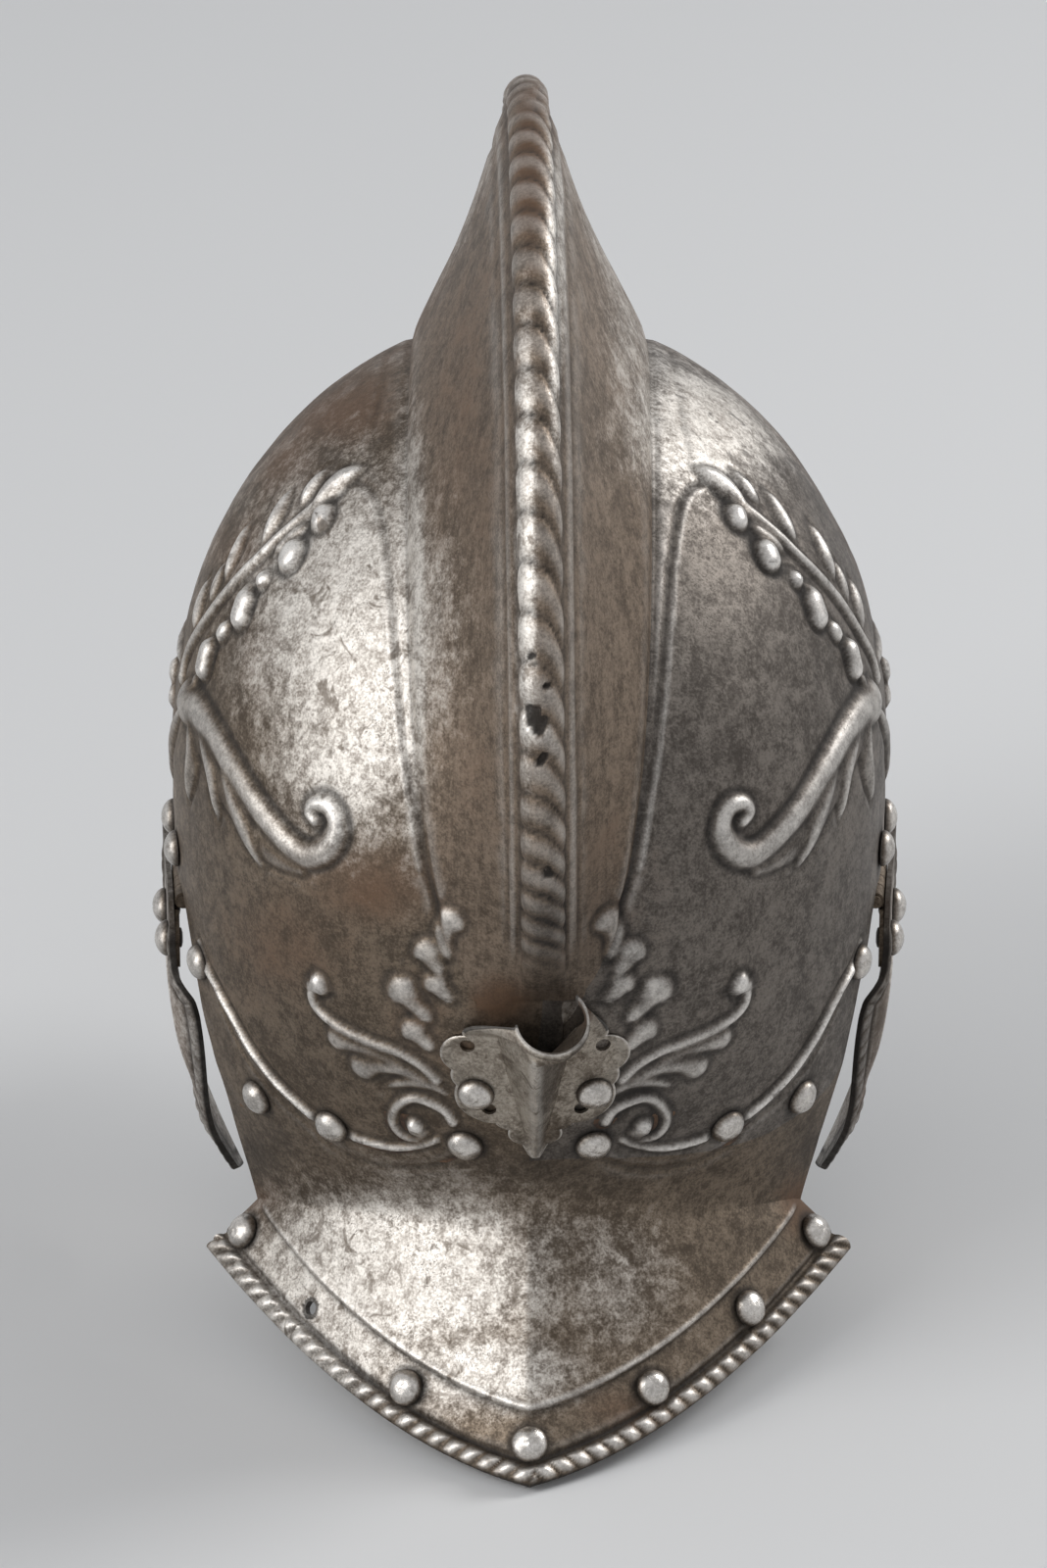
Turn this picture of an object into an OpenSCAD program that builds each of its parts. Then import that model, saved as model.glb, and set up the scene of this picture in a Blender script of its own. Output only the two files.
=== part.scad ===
// Burgonet: an open helmet with a high comb, a fixed fall over the brow, a
// flared and pointed neck guard and two cheekpieces that swing on hinges.
// The origin is the middle of the head space, level with the bowl's greatest
// width. The face looks along -Y, +X is the wearer's left and +Z is up.

/* [Skull bowl] */
// Half the outside width of the bowl
half_w = 97; // [94:0.5:100]
// Middle of the bowl to its back
back_len = 118; // [112:1:124]
// Middle of the bowl to its brow
front_len = 116; // [110:1:122]
// Middle of the bowl to its top, under the comb
rise = 114; // [108:1:120]
// Thickness of the steel plate
plate = 1.6; // [1.4:0.1:2]
// Depth of the nape line under the middle
nape_z = 91; // [86:1:96]
// How far the nape draws in on its way down
nape_in = 25; // [20:1:30]
// How far each side draws in at the level of the nape
side_in = 2.5; // [2:0.5:4]
// Height of the keel that runs down the nape
keel_h = 4; // [2:0.5:6]
// Half the width of that keel at its foot
keel_w = 30; // [24:1:40]

/* [Comb] */
// Height of the comb over the top of the bowl
comb_rise = 68; // [58:1:74]
// Half the width of the comb at its foot
comb_half_w = 32.5; // [28:0.5:36]
// Half the width of the comb at its two ends
comb_end_w = 9; // [8:0.5:12]
// Radius of the bead along the crest
crest_r = 6; // [5:0.25:7]
// Angle below the back of the bowl at which the comb ends
comb_back_end = 11; // [9:0.5:12]
// Angle below the front of the bowl at which the comb ends
comb_front_end = 8; // [4:1:10]
// How far askew the crest stands, to the right at the back and to the left at the front
comb_lean = 3.6; // [0:0.2:5]

/* [Lower edge] */
// Depth of the brow under the middle of the bowl
brow_z = 28; // [24:1:32]
// Depth of the edge over the ear
ear_z = 33; // [30:0.5:35]
// Distance of the temple in front of the middle
temple_y = 60; // [55:1:65]
// Where the edge behind the ear starts to turn down
ear_back_y = 25; // [25:0.5:27]
// Depth of the corner where the edge meets the neck guard
corner_z = 118; // [112:1:120]
// Distance of that corner behind the middle
corner_y = 46; // [44:1:50]
// Height of the raised rib that parts the bowl from the neck
rib_h = 1.6; // [0.8:0.1:2]
// Depth of that rib at the middle of the nape
rib_z = 67; // [64:1:70]
// How far the rib hangs down on its way to the ear
rib_sag = 13; // [8:1:15]

/* [Neck guard] */
// How far the point of the neck guard stands out behind the bowl
guard_out = 24; // [18:1:30]
// Depth of that point under the middle
guard_tip_z = 153; // [148:1:158]
// Half the width between the neck guard's corners
guard_half_w = 88; // [84:1:92]
// Distance of the neck guard's corners behind the middle
guard_corner_y = 47; // [43:1:51]
// Depth of those corners under the middle
guard_corner_z = 133; // [129:0.5:136]
// Hollow of the neck guard between nape and edge
guard_hollow = 3; // [0:0.5:5]
// Width of the sunk border along the edge
border_w = 20; // [17:0.5:23]
// Height of the step between border and field
border_step = 1; // [0.5:0.1:1.5]

/* [Fall] */
// Tip of the fall in front of the middle
fall_tip_y = 170; // [160:1:180]
// Depth of that tip under the middle
fall_tip_z = 20; // [14:1:26]
// Half the width of the fall at the temples
fall_half_w = 84; // [83:0.5:86]
// Distance of the fall's corners in front of the middle
fall_corner_y = 66; // [64:1:68]
// Depth of those corners under the middle
fall_corner_z = 32; // [31:0.5:34]
// Radius of the turned edge on fall and neck guard
edge_r = 2.2; // [1.6:0.1:2.6]

/* [Rivets] */
// Radius of a domed lining rivet head
head_r = 5; // [4:0.25:5.5]
// Height of that head
head_h = 3.6; // [2.5:0.1:4.2]
// Radius of a rivet's shank
shank_r = 1.9; // [1.5:0.1:2.2]
// Gap around a shank in its hole
shank_gap = 0.1; // [0.05:0.05:0.3]
// Radius of the washer on the inside
washer_r = 4.6; // [4:0.2:5.4]
// Thickness of that washer
washer_t = 0.9; // [0.6:0.1:1.4]

/* [Lining] */
// Width of the leather band that carries the lining
band_w = 17; // [14:0.5:19]
// Thickness of the leather
band_t = 1.6; // [1.2:0.1:2.4]
// Room between the leather and the plate
band_gap = 0.45; // [0.4:0.05:0.8]

/* [Plume holder] */
// Radius of the plume tube
tube_r = 8.2; // [7.5:0.1:8.6]
// Thickness of the holder's sheet
sheet = 1; // [0.8:0.1:1.2]
// Level of the mouth of the tube, under the middle
holder_top_z = 22; // [21:0.5:24]
// Length of the holder from mouth to point
holder_len = 52; // [50:1:54]
// Half the width of the holder over its lobes
holder_half_w = 25; // [24:0.5:26]
// How much lower the lip of the tube is than its back
lip_drop = 9.5; // [6:0.5:11]
// Radius of the round notches in the holder's outline
notch_r = 2; // [1.5:0.1:2.3]

/* [Hinges] */
// Depth of the hinge pin under the middle
hinge_z = 38; // [38:0.5:41]
// Distance of the hinge's middle behind the middle of the bowl
hinge_y = 10; // [6:1:13]
// Angle of the hinge pin to the middle plane
hinge_yaw = 4; // [3:0.5:5]
// Length of a hinge
hinge_len = 30; // [29:0.5:31]
// Radius of the knuckles
knuckle_r = 2.4; // [2.2:0.1:2.6]
// Radius of the hinge pin
pin_r = 1; // [0.8:0.05:1.2]
// Running gap around the pin
pin_gap = 0.05; // [0.03:0.01:0.08]
// Thickness of a hinge leaf
leaf_t = 1.2; // [1:0.1:1.4]
// Height of a hinge leaf from the pin
leaf_h = 20; // [17:0.5:21]

/* [Cheekpieces] */
// Thickness of a cheekpiece
cheek_t = 1.5; // [1.2:0.1:1.8]
// Length of a cheekpiece down from the hinge pin
cheek_len = 92; // [84:1:96]
// How far its foot turns in under the jaw
cheek_turn = 22; // [18:0.5:25]
// Distance of its upper back corner behind the hinge's middle
cheek_back = 20; // [18:0.5:21]
// Distance of its upper front corner before the hinge's middle
cheek_front = 36; // [30:1:40]
// Height of the boss over the ear
boss_h = 1.5; // [1:0.1:3]
// Radius of that boss
boss_r = 19; // [15:1:21]

/* [Ornament] */
// Height of the large scrolls over the plate
scroll_h = 2.4; // [1.6:0.2:3]
// Half the width of their stems
scroll_w = 2.9; // [2.2:0.1:3.4]
// Height of the smaller scrolls over the nape
vine_h = 1.8; // [1.2:0.2:2.4]
// Half the width of their stems
vine_w = 1.9; // [1.4:0.1:2.4]
// Radius of the largest berries of the branches
berry_r = 4.2; // [3.2:0.2:4.6]
// Height of those berries
berry_h = 2.9; // [2:0.1:3.4]

/* [Hidden] */
$fn = 32;

steel = "slategray";
bright = "lightsteelblue";
leather = "saddlebrown";

// Small helpers for points and curves.
function mix(a, b, f) = a + (b - a) * f;
function unit(v) = v / norm(v);
function flip(p) = [-p[0], p[1], p[2]];
function bezier2(a, b, c, f) = mix(mix(a, b, f), mix(b, c, f), f);
function bezier3(a, b, c, d, f) = mix(bezier2(a, b, c, f), bezier2(b, c, d, f), f);
function ramp(f) = let (g = max(0, min(1, f))) g * g * (3 - 2 * g);

// Half width and half depth of the bowl at a level, and the wall through them.
function half_x(z) = z >= 0 ? half_w * sqrt(max(0, 1 - pow(z / rise, 2)))
    : half_w - side_in * pow(z / nape_z, 2);
function half_y(y, z) = z >= 0 ? (y < 0 ? front_len : back_len) * sqrt(max(0, 1 - pow(z / rise, 2)))
    : y < 0 ? front_len : back_len - nape_in * pow(z / nape_z, 2);
function keel(x, z) = keel_h * ramp(-2 * z / nape_z - 1) * pow(max(0, 1 - abs(x) / keel_w), 2);
function side_wall(y, z) = [half_x(z) * sqrt(max(0, 1 - pow(y / half_y(y, z), 2))), y, z];
function back_wall(x, z) = [x, half_y(1, z) * sqrt(max(0, 1 - pow(x / half_x(z), 2))) + keel(x, z), z];
function front_wall(x, z) = [x, -half_y(-1, z) * sqrt(max(0, 1 - pow(x / half_x(z), 2))), z];

// Outward normals of the wall, from points a little to each side.
probe = 0.5;
function side_normal(y, z) = unit(cross(side_wall(y + probe, z) - side_wall(y - probe, z),
    side_wall(y, z + probe) - side_wall(y, z - probe)));
function back_normal(x, z) = unit(cross(back_wall(x, z + probe) - back_wall(x, z - probe),
    back_wall(x + probe, z) - back_wall(x - probe, z)));
function front_normal(x, z) = unit(cross(front_wall(x + probe, z) - front_wall(x - probe, z),
    front_wall(x, z + probe) - front_wall(x, z - probe)));

// The spine runs over the bowl in the middle plane: 0 is the back, 90 the top
// and 180 the front, and it goes on below both ends.
nape_angle = -45;
front_angle = 180;
brow_angle = 192;
function spine(t) = t < 0 ? let (z = -nape_z * t / nape_angle) [half_y(1, z), z]
    : t > front_angle ? let (z = -brow_z * (t - front_angle) / (brow_angle - front_angle)) [-half_y(-1, z), z]
    : [(t > 90 ? front_len : back_len) * cos(t), rise * sin(t)];
function spine_out(t) = let (d = spine(t + 1) - spine(t - 1)) [d[1], -d[0]] / norm(d);

// Height and half width of the comb along the spine.
comb_first = -comb_back_end;
comb_last = front_angle + comb_front_end;
comb_widest = 70;
function comb_share(t) = t < 90 ? (t - comb_first) / (90 - comb_first) : (comb_last - t) / (comb_last - 90);
function comb_h(t) = comb_rise * sin(90 * max(0, comb_share(t)));
function comb_w(t) = let (
    run = t < comb_widest ? comb_widest - comb_first : comb_last - comb_widest,
    s = abs(t - comb_widest) / run)
    comb_end_w + (comb_half_w - comb_end_w) * sqrt(max(0, 1 - pow(s, 2.8)));
function flank(s) = 1 - s - 0.75 * s * pow(1 - s, 1.7);
function lean(t) = comb_lean * cos(t) * ramp((t + 30) / 20) * ramp((comb_last + 15 - t) / 20);

// The lower edge in side view, from the temple over the ear to the corner of
// the neck guard.
ear_edge = [ear_back_y, -ear_z];
temple_edge = [-temple_y, -brow_z];
corner_edge = [corner_y, -corner_z];
level_len = norm(ear_edge - temple_edge);
level_share = level_len / (level_len + 1.1 * norm(corner_edge - ear_edge));
function behind(f) = bezier3(ear_edge, ear_edge + [9, -1], corner_edge + [8, 34], corner_edge, f);
function rim(f) = f < level_share ? mix(temple_edge, ear_edge, f / level_share)
    : behind((f - level_share) / (1 - level_share));

// Each section ends on the rim. The one with the rib meets it behind the ear.
rib_angle = nape_angle * rib_z / nape_z;
rib_share = mix(level_share, 1, 0.38);
function rim_share(t) = t > rib_angle ? rib_share * (brow_angle - t) / (brow_angle - rib_angle)
    : mix(rib_share, 1, (rib_angle - t) / (rib_angle - nape_angle));
function sag(t) = rib_sag * ramp(t > rib_angle ? t / rib_angle
    : (t - nape_angle) / (rib_angle - nape_angle));

// A half section of bowl and comb: points from the crest down to the edge.
bead_angles = [0, 30, 60, 90];
flank_steps = [0.35, 0.7, 1];
bowl_steps = 9;
// A chord is [start on the spine, end on the rim, how far it hangs down].
function chord(t) = [spine(t), rim(rim_share(t)), sag(t)];
function on_chord(c, p) = let (s = mix(c[0], c[1], p) - [0, 4 * c[2] * p * (1 - p)]) side_wall(s[0], s[1]);
function reach(c, x, lo = 0, hi = 0.6, n = 16) = let (p = (lo + hi) / 2)
    n == 0 ? p : on_chord(c, p)[0] < x ? reach(c, x, p, hi, n - 1) : reach(c, x, lo, p, n - 1);
function lifted(p, out, h) = p + [0, out[0] * h + keel(p[0], p[2]) * (p[1] > 0 ? 1 : 0), out[1] * h];
// The fourth number of each point is its share of the comb's lean.
function half_section(t) = let (
    c = chord(t),
    out = spine_out(t),
    h = comb_h(t),
    w = comb_w(t),
    bead = min(crest_r, h / 2),
    foot_angle = acos(1 - reach(c, w)))
    concat(
        [for (a = bead_angles) let (p = a == 0 ? 0 : reach(c, crest_r * sin(a)))
            [each lifted(on_chord(c, p), out, h - bead * (1 - cos(a))), 1]],
        [for (s = flank_steps) let (p = reach(c, mix(crest_r, w, s)))
            [each lifted(on_chord(c, p), out, (h - bead) * flank(s)), 1 - s]],
        [for (k = [1:bowl_steps])
            [each lifted(on_chord(c, 1 - cos(mix(foot_angle, 90, k / bowl_steps))), out, 0), 0]]);
function place_of(q) = [q[0], q[1], q[2]];
function places_of(section) = [for (q = section) place_of(q)];

// Both flanges run out from the bowl's last section to an edge with a point.
function flange_edge(x, tip, corner, half, pointed, droop) = let (f = x / half)
    [x, mix(tip[0], corner[0], pointed * f + (1 - pointed) * f * f), mix(tip[1], corner[1], pow(f, droop))];
guard_tip_y = back_len + guard_out;
nape_line = places_of(half_section(nape_angle));
brow_line = places_of(half_section(brow_angle));
last = len(nape_line) - 1;
guard_edge = [for (p = nape_line) flange_edge(p[0] / nape_line[last][0] * guard_half_w,
    [guard_tip_y, -guard_tip_z], [guard_corner_y, -guard_corner_z], guard_half_w, 0.42, 1.8)];
fall_edge = [for (p = brow_line) flange_edge(p[0] / brow_line[last][0] * fall_half_w,
    [-fall_tip_y, -fall_tip_z], [-fall_corner_y, -fall_corner_z], fall_half_w, 0.35, 1)];
hollow_run = 80;
function hollow(w, len) = [0, -1, -0.6] * guard_hollow * 4 * w * (1 - w) * pow(len / hollow_run, 2);
function guard_at(j, w) = mix(nape_line[j], guard_edge[j], w) + hollow(w, norm(guard_edge[j] - nape_line[j]));
function fall_at(j, w) = mix(brow_line[j], fall_edge[j], w) + [0, 0, 2 * w * (1 - w)];
function guard_step(j) = max(0.12, 1 - border_w / norm(guard_edge[j] - nape_line[j]));
function guard_bead(j) = 2 * edge_r / norm(guard_edge[j] - nape_line[j]);
function fall_bead(j) = min(0.5, 2 * edge_r / norm(fall_edge[j] - brow_line[j]));

// Every row is [points from right to left, outside swell, inside swell], from
// the tip of the fall over the bowl to the tip of the neck guard.
cols = [for (j = [0:last]) j];
function whole(half) = concat([for (j = [last:-1:1]) flip(half[j])], half);
function bowl_row(t) = let (q = half_section(t)) [for (j = [-last:last])
    [(j < 0 ? -1 : 1) * q[abs(j)][0] - lean(t) * q[abs(j)][3], q[abs(j)][1], q[abs(j)][2]]];
function flange_row(points, out, inside) = [whole(points), out, inside];
function bead_out(w) = w == 0.5 ? edge_r : 0.2;
function bead_in(w) = w == 0.5 ? edge_r / 2 : 0.1;
bead_steps = [0, 0.5, 1];
fall_rows = [for (w = [1, 0.5, 0]) flange_row([for (j = cols) fall_at(j, 1 - fall_bead(j) * (1 - w))],
    bead_out(w), bead_in(w))];
fall_field = [for (w = [0.66, 0.33]) flange_row([for (j = cols) fall_at(j, w * (1 - fall_bead(j)))], 0, 0)];
bowl_turn = 6;
nape_turn = 4.5;
bowl_angles = concat([brow_angle, front_angle + bowl_turn], [for (t = [front_angle:-bowl_turn:0]) t],
    [for (t = [-nape_turn:-nape_turn:rib_angle + 2]) t]);
bowl_rows = [for (t = bowl_angles) [bowl_row(t), 0, 0]];
rib_rows = [for (q = [[0.9, 0], [0.2, 1], [-0.5, 0.3], [-1.2, 0]])
    [bowl_row(rib_angle + q[0]), rib_h * q[1], -rib_h * q[1]]];
bend_angle = mix(rib_angle, nape_angle, 0.4);
bend_start = places_of(half_section(bend_angle));
bend_rows = [for (f = [0, 0.25, 0.5, 0.75, 1]) flange_row(
    [for (j = cols) bezier2(bend_start[j], nape_line[j], guard_at(j, 0.2 * guard_step(j)), f)],
    border_step * f / 2, -border_step * f / 2)];
guard_field = [for (f = [0.5, 0.75, 0.97]) flange_row([for (j = cols) guard_at(j, f * guard_step(j))],
    border_step, -border_step)];
guard_border = [for (f = [0, 0.5]) flange_row(
    [for (j = cols) guard_at(j, mix(guard_step(j), 1 - guard_bead(j), f))], 0, 0)];
guard_rows = [for (w = bead_steps) flange_row([for (j = cols) guard_at(j, 1 - guard_bead(j) * (1 - w))],
    bead_out(w), bead_in(w))];
rows = concat(fall_rows, fall_field, bowl_rows, rib_rows, bend_rows, guard_field, guard_border, guard_rows);
grid = [for (r = rows) r[0]];
row_count = len(grid);
col_count = len(grid[0]);
function grid_normal(g, i, j) = let (
    a = g[min(i + 1, len(g) - 1)][j] - g[max(i - 1, 0)][j],
    b = g[i][min(j + 1, len(g[0]) - 1)] - g[i][max(j - 1, 0)])
    unit(cross(b, a));

// A sheet of plate between an outer and an inner grid of points.
module shell(outer, inner) {
    n = len(outer);
    m = len(outer[0]);
    k = n * m;
    points = concat([for (row = outer) each row], [for (row = inner) each row]);
    faces = concat(
        [for (i = [0:n - 2]) for (j = [0:m - 2]) each
            [[i * m + j, (i + 1) * m + j, i * m + j + 1],
             [i * m + j + 1, (i + 1) * m + j, (i + 1) * m + j + 1]]],
        [for (i = [0:n - 2]) for (j = [0:m - 2]) each
            [[k + i * m + j, k + i * m + j + 1, k + (i + 1) * m + j],
             [k + i * m + j + 1, k + (i + 1) * m + j + 1, k + (i + 1) * m + j]]],
        [for (i = [0:n - 2]) each
            [[i * m, k + i * m, (i + 1) * m], [k + i * m, k + (i + 1) * m, (i + 1) * m],
             [i * m + m - 1, (i + 1) * m + m - 1, k + i * m + m - 1],
             [k + i * m + m - 1, (i + 1) * m + m - 1, k + (i + 1) * m + m - 1]]],
        [for (j = [0:m - 2]) each
            [[j, j + 1, k + j], [j + 1, k + j + 1, k + j],
             [(n - 1) * m + j, k + (n - 1) * m + j, (n - 1) * m + j + 1],
             [(n - 1) * m + j + 1, k + (n - 1) * m + j, k + (n - 1) * m + j + 1]]]);
    polyhedron(points, faces);
}

// The rib fades under the plume holder and where a rivet head lies on the plate.
function fade(p) = ramp((abs(p[0]) - 14) / 8)
    * ramp((min([for (q = rim_rivet_places) norm(p - q[0])]) - head_r - 5) / 5);
rib_first = len(fall_rows) + len(fall_field) + len(bowl_rows);
bend_first = rib_first + len(rib_rows);
border_first = bend_first + len(bend_rows) + len(guard_field);
// The step of the border dies out where the neck guard is no wider than it.
function step_share(k) = ramp((norm(guard_edge[k] - nape_line[k]) - border_w - 1) / 6);
function swell(i, j, side) = rows[i][side] * (i < rib_first || i >= border_first ? 1
    : i < bend_first ? fade(grid[i][j]) : step_share(abs(j - last)));

module skull_plate() {
    shell(
        [for (i = [0:row_count - 1]) [for (j = [0:col_count - 1])
            grid[i][j] + grid_normal(grid, i, j) * swell(i, j, 1)]],
        [for (i = [0:row_count - 1]) [for (j = [0:col_count - 1])
            grid[i][j] - grid_normal(grid, i, j) * (plate + swell(i, j, 2))]]);
}

// Turns +Z to a direction at a place.
module at(place, out) {
    translate(place) rotate([0, acos(out[2]), atan2(out[1], out[0])]) children();
}

module both_sides() {
    children();
    mirror([1, 0, 0]) children();
}

// Places of the lining rivets. Around the nape they follow the leather band,
// which sinks a little on its way from the middle to the ears.
nape_band_rise = 19.2;
band_level = nape_z - nape_band_rise;
band_sink = 5.5;
band_turn = 52;
band_end = 56;
function nape_band_z(a) = -band_level - band_sink * ramp(abs(a) / band_turn);
function nape_band_x(a) = half_x(nape_band_z(a)) * sin(a);
nape_rivet_angles = [10.2, 33.5, 50];
ear_rivet_angle = 66.8;
ear_rivet_drop = 14;
ear_rivet_z = ear_z + ear_rivet_drop;
brow_band_rise = 10;
brow_band_z = -(brow_z - brow_band_rise);
brow_band_end = 58;
function brow_band_x(a) = half_x(brow_band_z) * sin(a);
brow_rivet_angles = [-46, -18, 18, 46];

// The neck guard's rivets, as [distance from the middle, distance to the edge].
guard_rivet_at = [[0, 11], [33.5, 11.4], [61.5, 11.6], [84, 11.5]];
lost_rivet_number = 2;
function along(line, x, k = 0) = x <= line[k + 1][0] || k + 2 >= len(line)
    ? mix(line[k], line[k + 1], (x - line[k][0]) / (line[k + 1][0] - line[k][0]))
    : along(line, x, k + 1);
guard_share = nape_line[last][0] / guard_half_w;
function guard_run(x) = along(guard_edge, x) - along(nape_line, x * guard_share);
function guard_point(x, w) = along(guard_edge, x) - (1 - w) * guard_run(x) + hollow(w, norm(guard_run(x)));
function guard_w(q) = 1 - q[1] / norm(guard_run(q[0]));
function guard_normal(x, w) = unit(cross(
    guard_point(x + probe, w) - guard_point(x, w), guard_point(x, w) - guard_point(x, w - 0.05)));
function mirrored(p, side) = side < 0 ? flip(p) : p;
function both_signs(place) = [for (s = [-1, 1]) [mirrored(place[0], s), mirrored(place[1], s)]];
function nape_place(x, z) = [back_wall(x, z), back_normal(x, z)];

// Every rivet place is [point on the outside, outward direction].
nape_places = [for (a = nape_rivet_angles) each both_signs(nape_place(nape_band_x(a), nape_band_z(a)))];
ear_places = both_signs(nape_place(half_x(-ear_rivet_z) * sin(ear_rivet_angle), -ear_rivet_z));
rim_rivet_places = concat(nape_places, ear_places);
brow_places = [for (a = brow_rivet_angles)
    [front_wall(brow_band_x(a), brow_band_z), front_normal(brow_band_x(a), brow_band_z)]];
guard_lift = 0.5;
function guard_place(q) = let (
    w = guard_w(q),
    slope = guard_normal(max(q[0], 0.01), w),
    n = q[0] == 0 ? unit([0, slope[1], slope[2]]) : slope)
    [guard_point(q[0], w) + n * guard_lift, n];
guard_pairs = [for (k = [1:len(guard_rivet_at) - 1]) both_signs(guard_place(guard_rivet_at[k]))];
lost_rivet = guard_pairs[lost_rivet_number - 1][1];
function kept(k, s) = k != lost_rivet_number - 1 || s == 0;
guard_places = concat([guard_place(guard_rivet_at[0])],
    [for (k = [0:len(guard_pairs) - 1]) for (s = [0, 1]) if (kept(k, s)) guard_pairs[k][s]]);

// Layers under a rivet head, measured inwards from the outside of the plate.
head_lift = 0.2;
washer_gap = 0.5;
tail_r = 2.8;
tail_h = 0.8;
tail_gap = 0.1;
lined_depth = plate + band_gap + band_t + washer_gap;
bare_depth = plate + washer_gap;
function grip_of(depth) = depth + washer_t + tail_gap;

module rivet(grip, r = head_r, h = head_h) {
    dome = [for (a = [0:15:90]) [r * cos(a), head_lift + h * sin(a)]];
    tail = [[0, -tail_h], [tail_r * 0.7, -tail_h], [tail_r, -tail_h / 2], [tail_r, 0], [shank_r, 0]];
    rotate_extrude() polygon(concat([for (q = tail) q - [0, grip]], [[shank_r, head_lift]], dome));
}

module washer(depth) {
    translate([0, 0, -depth - washer_t]) difference() {
        cylinder(r = washer_r, h = washer_t);
        translate([0, 0, -1]) cylinder(r = shank_r + shank_gap, h = washer_t + 2);
    }
}

module hole(depth) {
    translate([0, 0, -depth]) cylinder(r = shank_r + shank_gap, h = depth + 3);
}

module rivets(places, depth) {
    for (p = places) at(p[0], p[1]) rivet(grip_of(depth));
}

module washers(places, depth) {
    for (p = places) at(p[0], p[1]) washer(depth);
}

module holes(places, depth) {
    for (p = places) at(p[0], p[1]) hole(depth);
}

// A leather band on the inside of the wall: four edges swept along stations.
module band(points) {
    n = len(points);
    faces = concat([[0, 1, 2, 3]],
        [for (i = [0:n - 2]) for (k = [0:3]) each
            [[i * 4 + k, (i + 1) * 4 + k, i * 4 + (k + 1) % 4],
             [i * 4 + (k + 1) % 4, (i + 1) * 4 + k, (i + 1) * 4 + (k + 1) % 4]]],
        [[(n - 1) * 4 + 3, (n - 1) * 4 + 2, (n - 1) * 4 + 1, (n - 1) * 4]]);
    polyhedron([for (s = points) each s], faces);
}

// The hinge's middle and frame: X outwards, Y backwards along the pin, Z up.
leaf_room = 0.15;
function wall_over(y) = side_wall(hinge_y + y, -ear_z)[0] + y * tan(hinge_yaw);
hinge_x = min(wall_over(-hinge_len / 2), wall_over(hinge_len / 2)) - plate + knuckle_r - leaf_t - leaf_room;
running = 0.3;
knuckle_count = 5;
knuckle_len = hinge_len / knuckle_count;
hinge_rivet_y = 10;
leaf_foot = 6.5;
hinge_rivet_z = leaf_h - leaf_foot;
cheek_in = knuckle_r + running;
cheek_out = cheek_in + cheek_t;

module hinge_frame() {
    translate([hinge_x, hinge_y, -hinge_z]) rotate([0, 0, hinge_yaw]) children();
}

function hinge_world(p) = [hinge_x + p[0] * cos(hinge_yaw) - p[1] * sin(hinge_yaw),
    hinge_y + p[0] * sin(hinge_yaw) + p[1] * cos(hinge_yaw), p[2] - hinge_z];
skull_hinge_places = [for (y = [-hinge_rivet_y, hinge_rivet_y])
    let (q = hinge_world([0, y, hinge_rivet_z])) [side_wall(q[1], q[2]), side_normal(q[1], q[2])]];
leaf_reach = 1.4;
skull_hinge_depth = plate + leaf_t + leaf_room + leaf_reach;

module pin_bore() {
    rotate([90, 0, 0]) cylinder(r = pin_r + pin_gap, h = hinge_len + 2, center = true);
}

// One leaf with its knuckles; up is 1 for the skull's leaf, -1 for the cheek's.
module hinge_leaf(up, first) {
    flat_x = up > 0 ? -knuckle_r : knuckle_r - leaf_t;
    notch = knuckle_r + running;
    difference() {
        union() {
            translate([flat_x, -hinge_len / 2, up > 0 ? notch : -leaf_h])
                cube([leaf_t, hinge_len, leaf_h - notch]);
            for (k = [first:2:knuckle_count - 1])
                translate([0, (k - knuckle_count / 2) * knuckle_len + running / 2, 0]) {
                    rotate([-90, 0, 0]) cylinder(r = knuckle_r, h = knuckle_len - running);
                    translate([flat_x, 0, up > 0 ? 0 : -notch]) cube([leaf_t, knuckle_len - running, notch]);
                }
        }
        pin_bore();
    }
}

// The ornament is drawn as seen from behind and above, in steps from the upper
// left corner of the drawing, and laid on the wall from there.
steps_per_mm = 3.75;
drawing_middle = [540, 750];
drawing_tilt = 25;
drawing_far = 2300;
side_limit = 0.985;
function on_wall(u, z = 0, n = 16) = let (
    y = back_wall((drawing_middle[0] - u[0]) / steps_per_mm * 0.96, z)[1],
    k = steps_per_mm * drawing_far / (drawing_far - y * cos(drawing_tilt) - z * sin(drawing_tilt)),
    x = min(side_limit * half_x(z), (drawing_middle[0] - u[0]) / k),
    up = (drawing_middle[1] - u[1]) / k,
    aim = (up + back_wall(x, z)[1] * sin(drawing_tilt)) / cos(drawing_tilt))
    n == 0 ? nape_place(x, z) : on_wall(u, mix(z, aim, 0.6), n - 1);

// A stem of the ornament is a low roof along its line, sunk a little into the
// plate. It swells from its start and thins out to its end.
stem_sink = 0.9;
roof_w = 0.4;
function stem_size(f, ends) = mix(ends[0], 1, ramp(4 * f)) * mix(1, ends[1], ramp(1.6 * f - 0.6));
module stem(drawn, w, h, ends = [0.5, 0.5]) {
    n = len(drawn) - 1;
    spots = [for (u = drawn) on_wall(u)];
    band([for (i = [0:n]) let (
        size = stem_size(i / n, ends),
        out = spots[i][1],
        run = spots[min(i + 1, n)][0] - spots[max(i - 1, 0)][0],
        side = unit(cross(run, out)) * w * size,
        foot = spots[i][0] - out * stem_sink,
        top = spots[i][0] + out * h * sqrt(size))
        [foot - side, top - side * roof_w, top + side * roof_w, foot + side]]);
}

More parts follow.
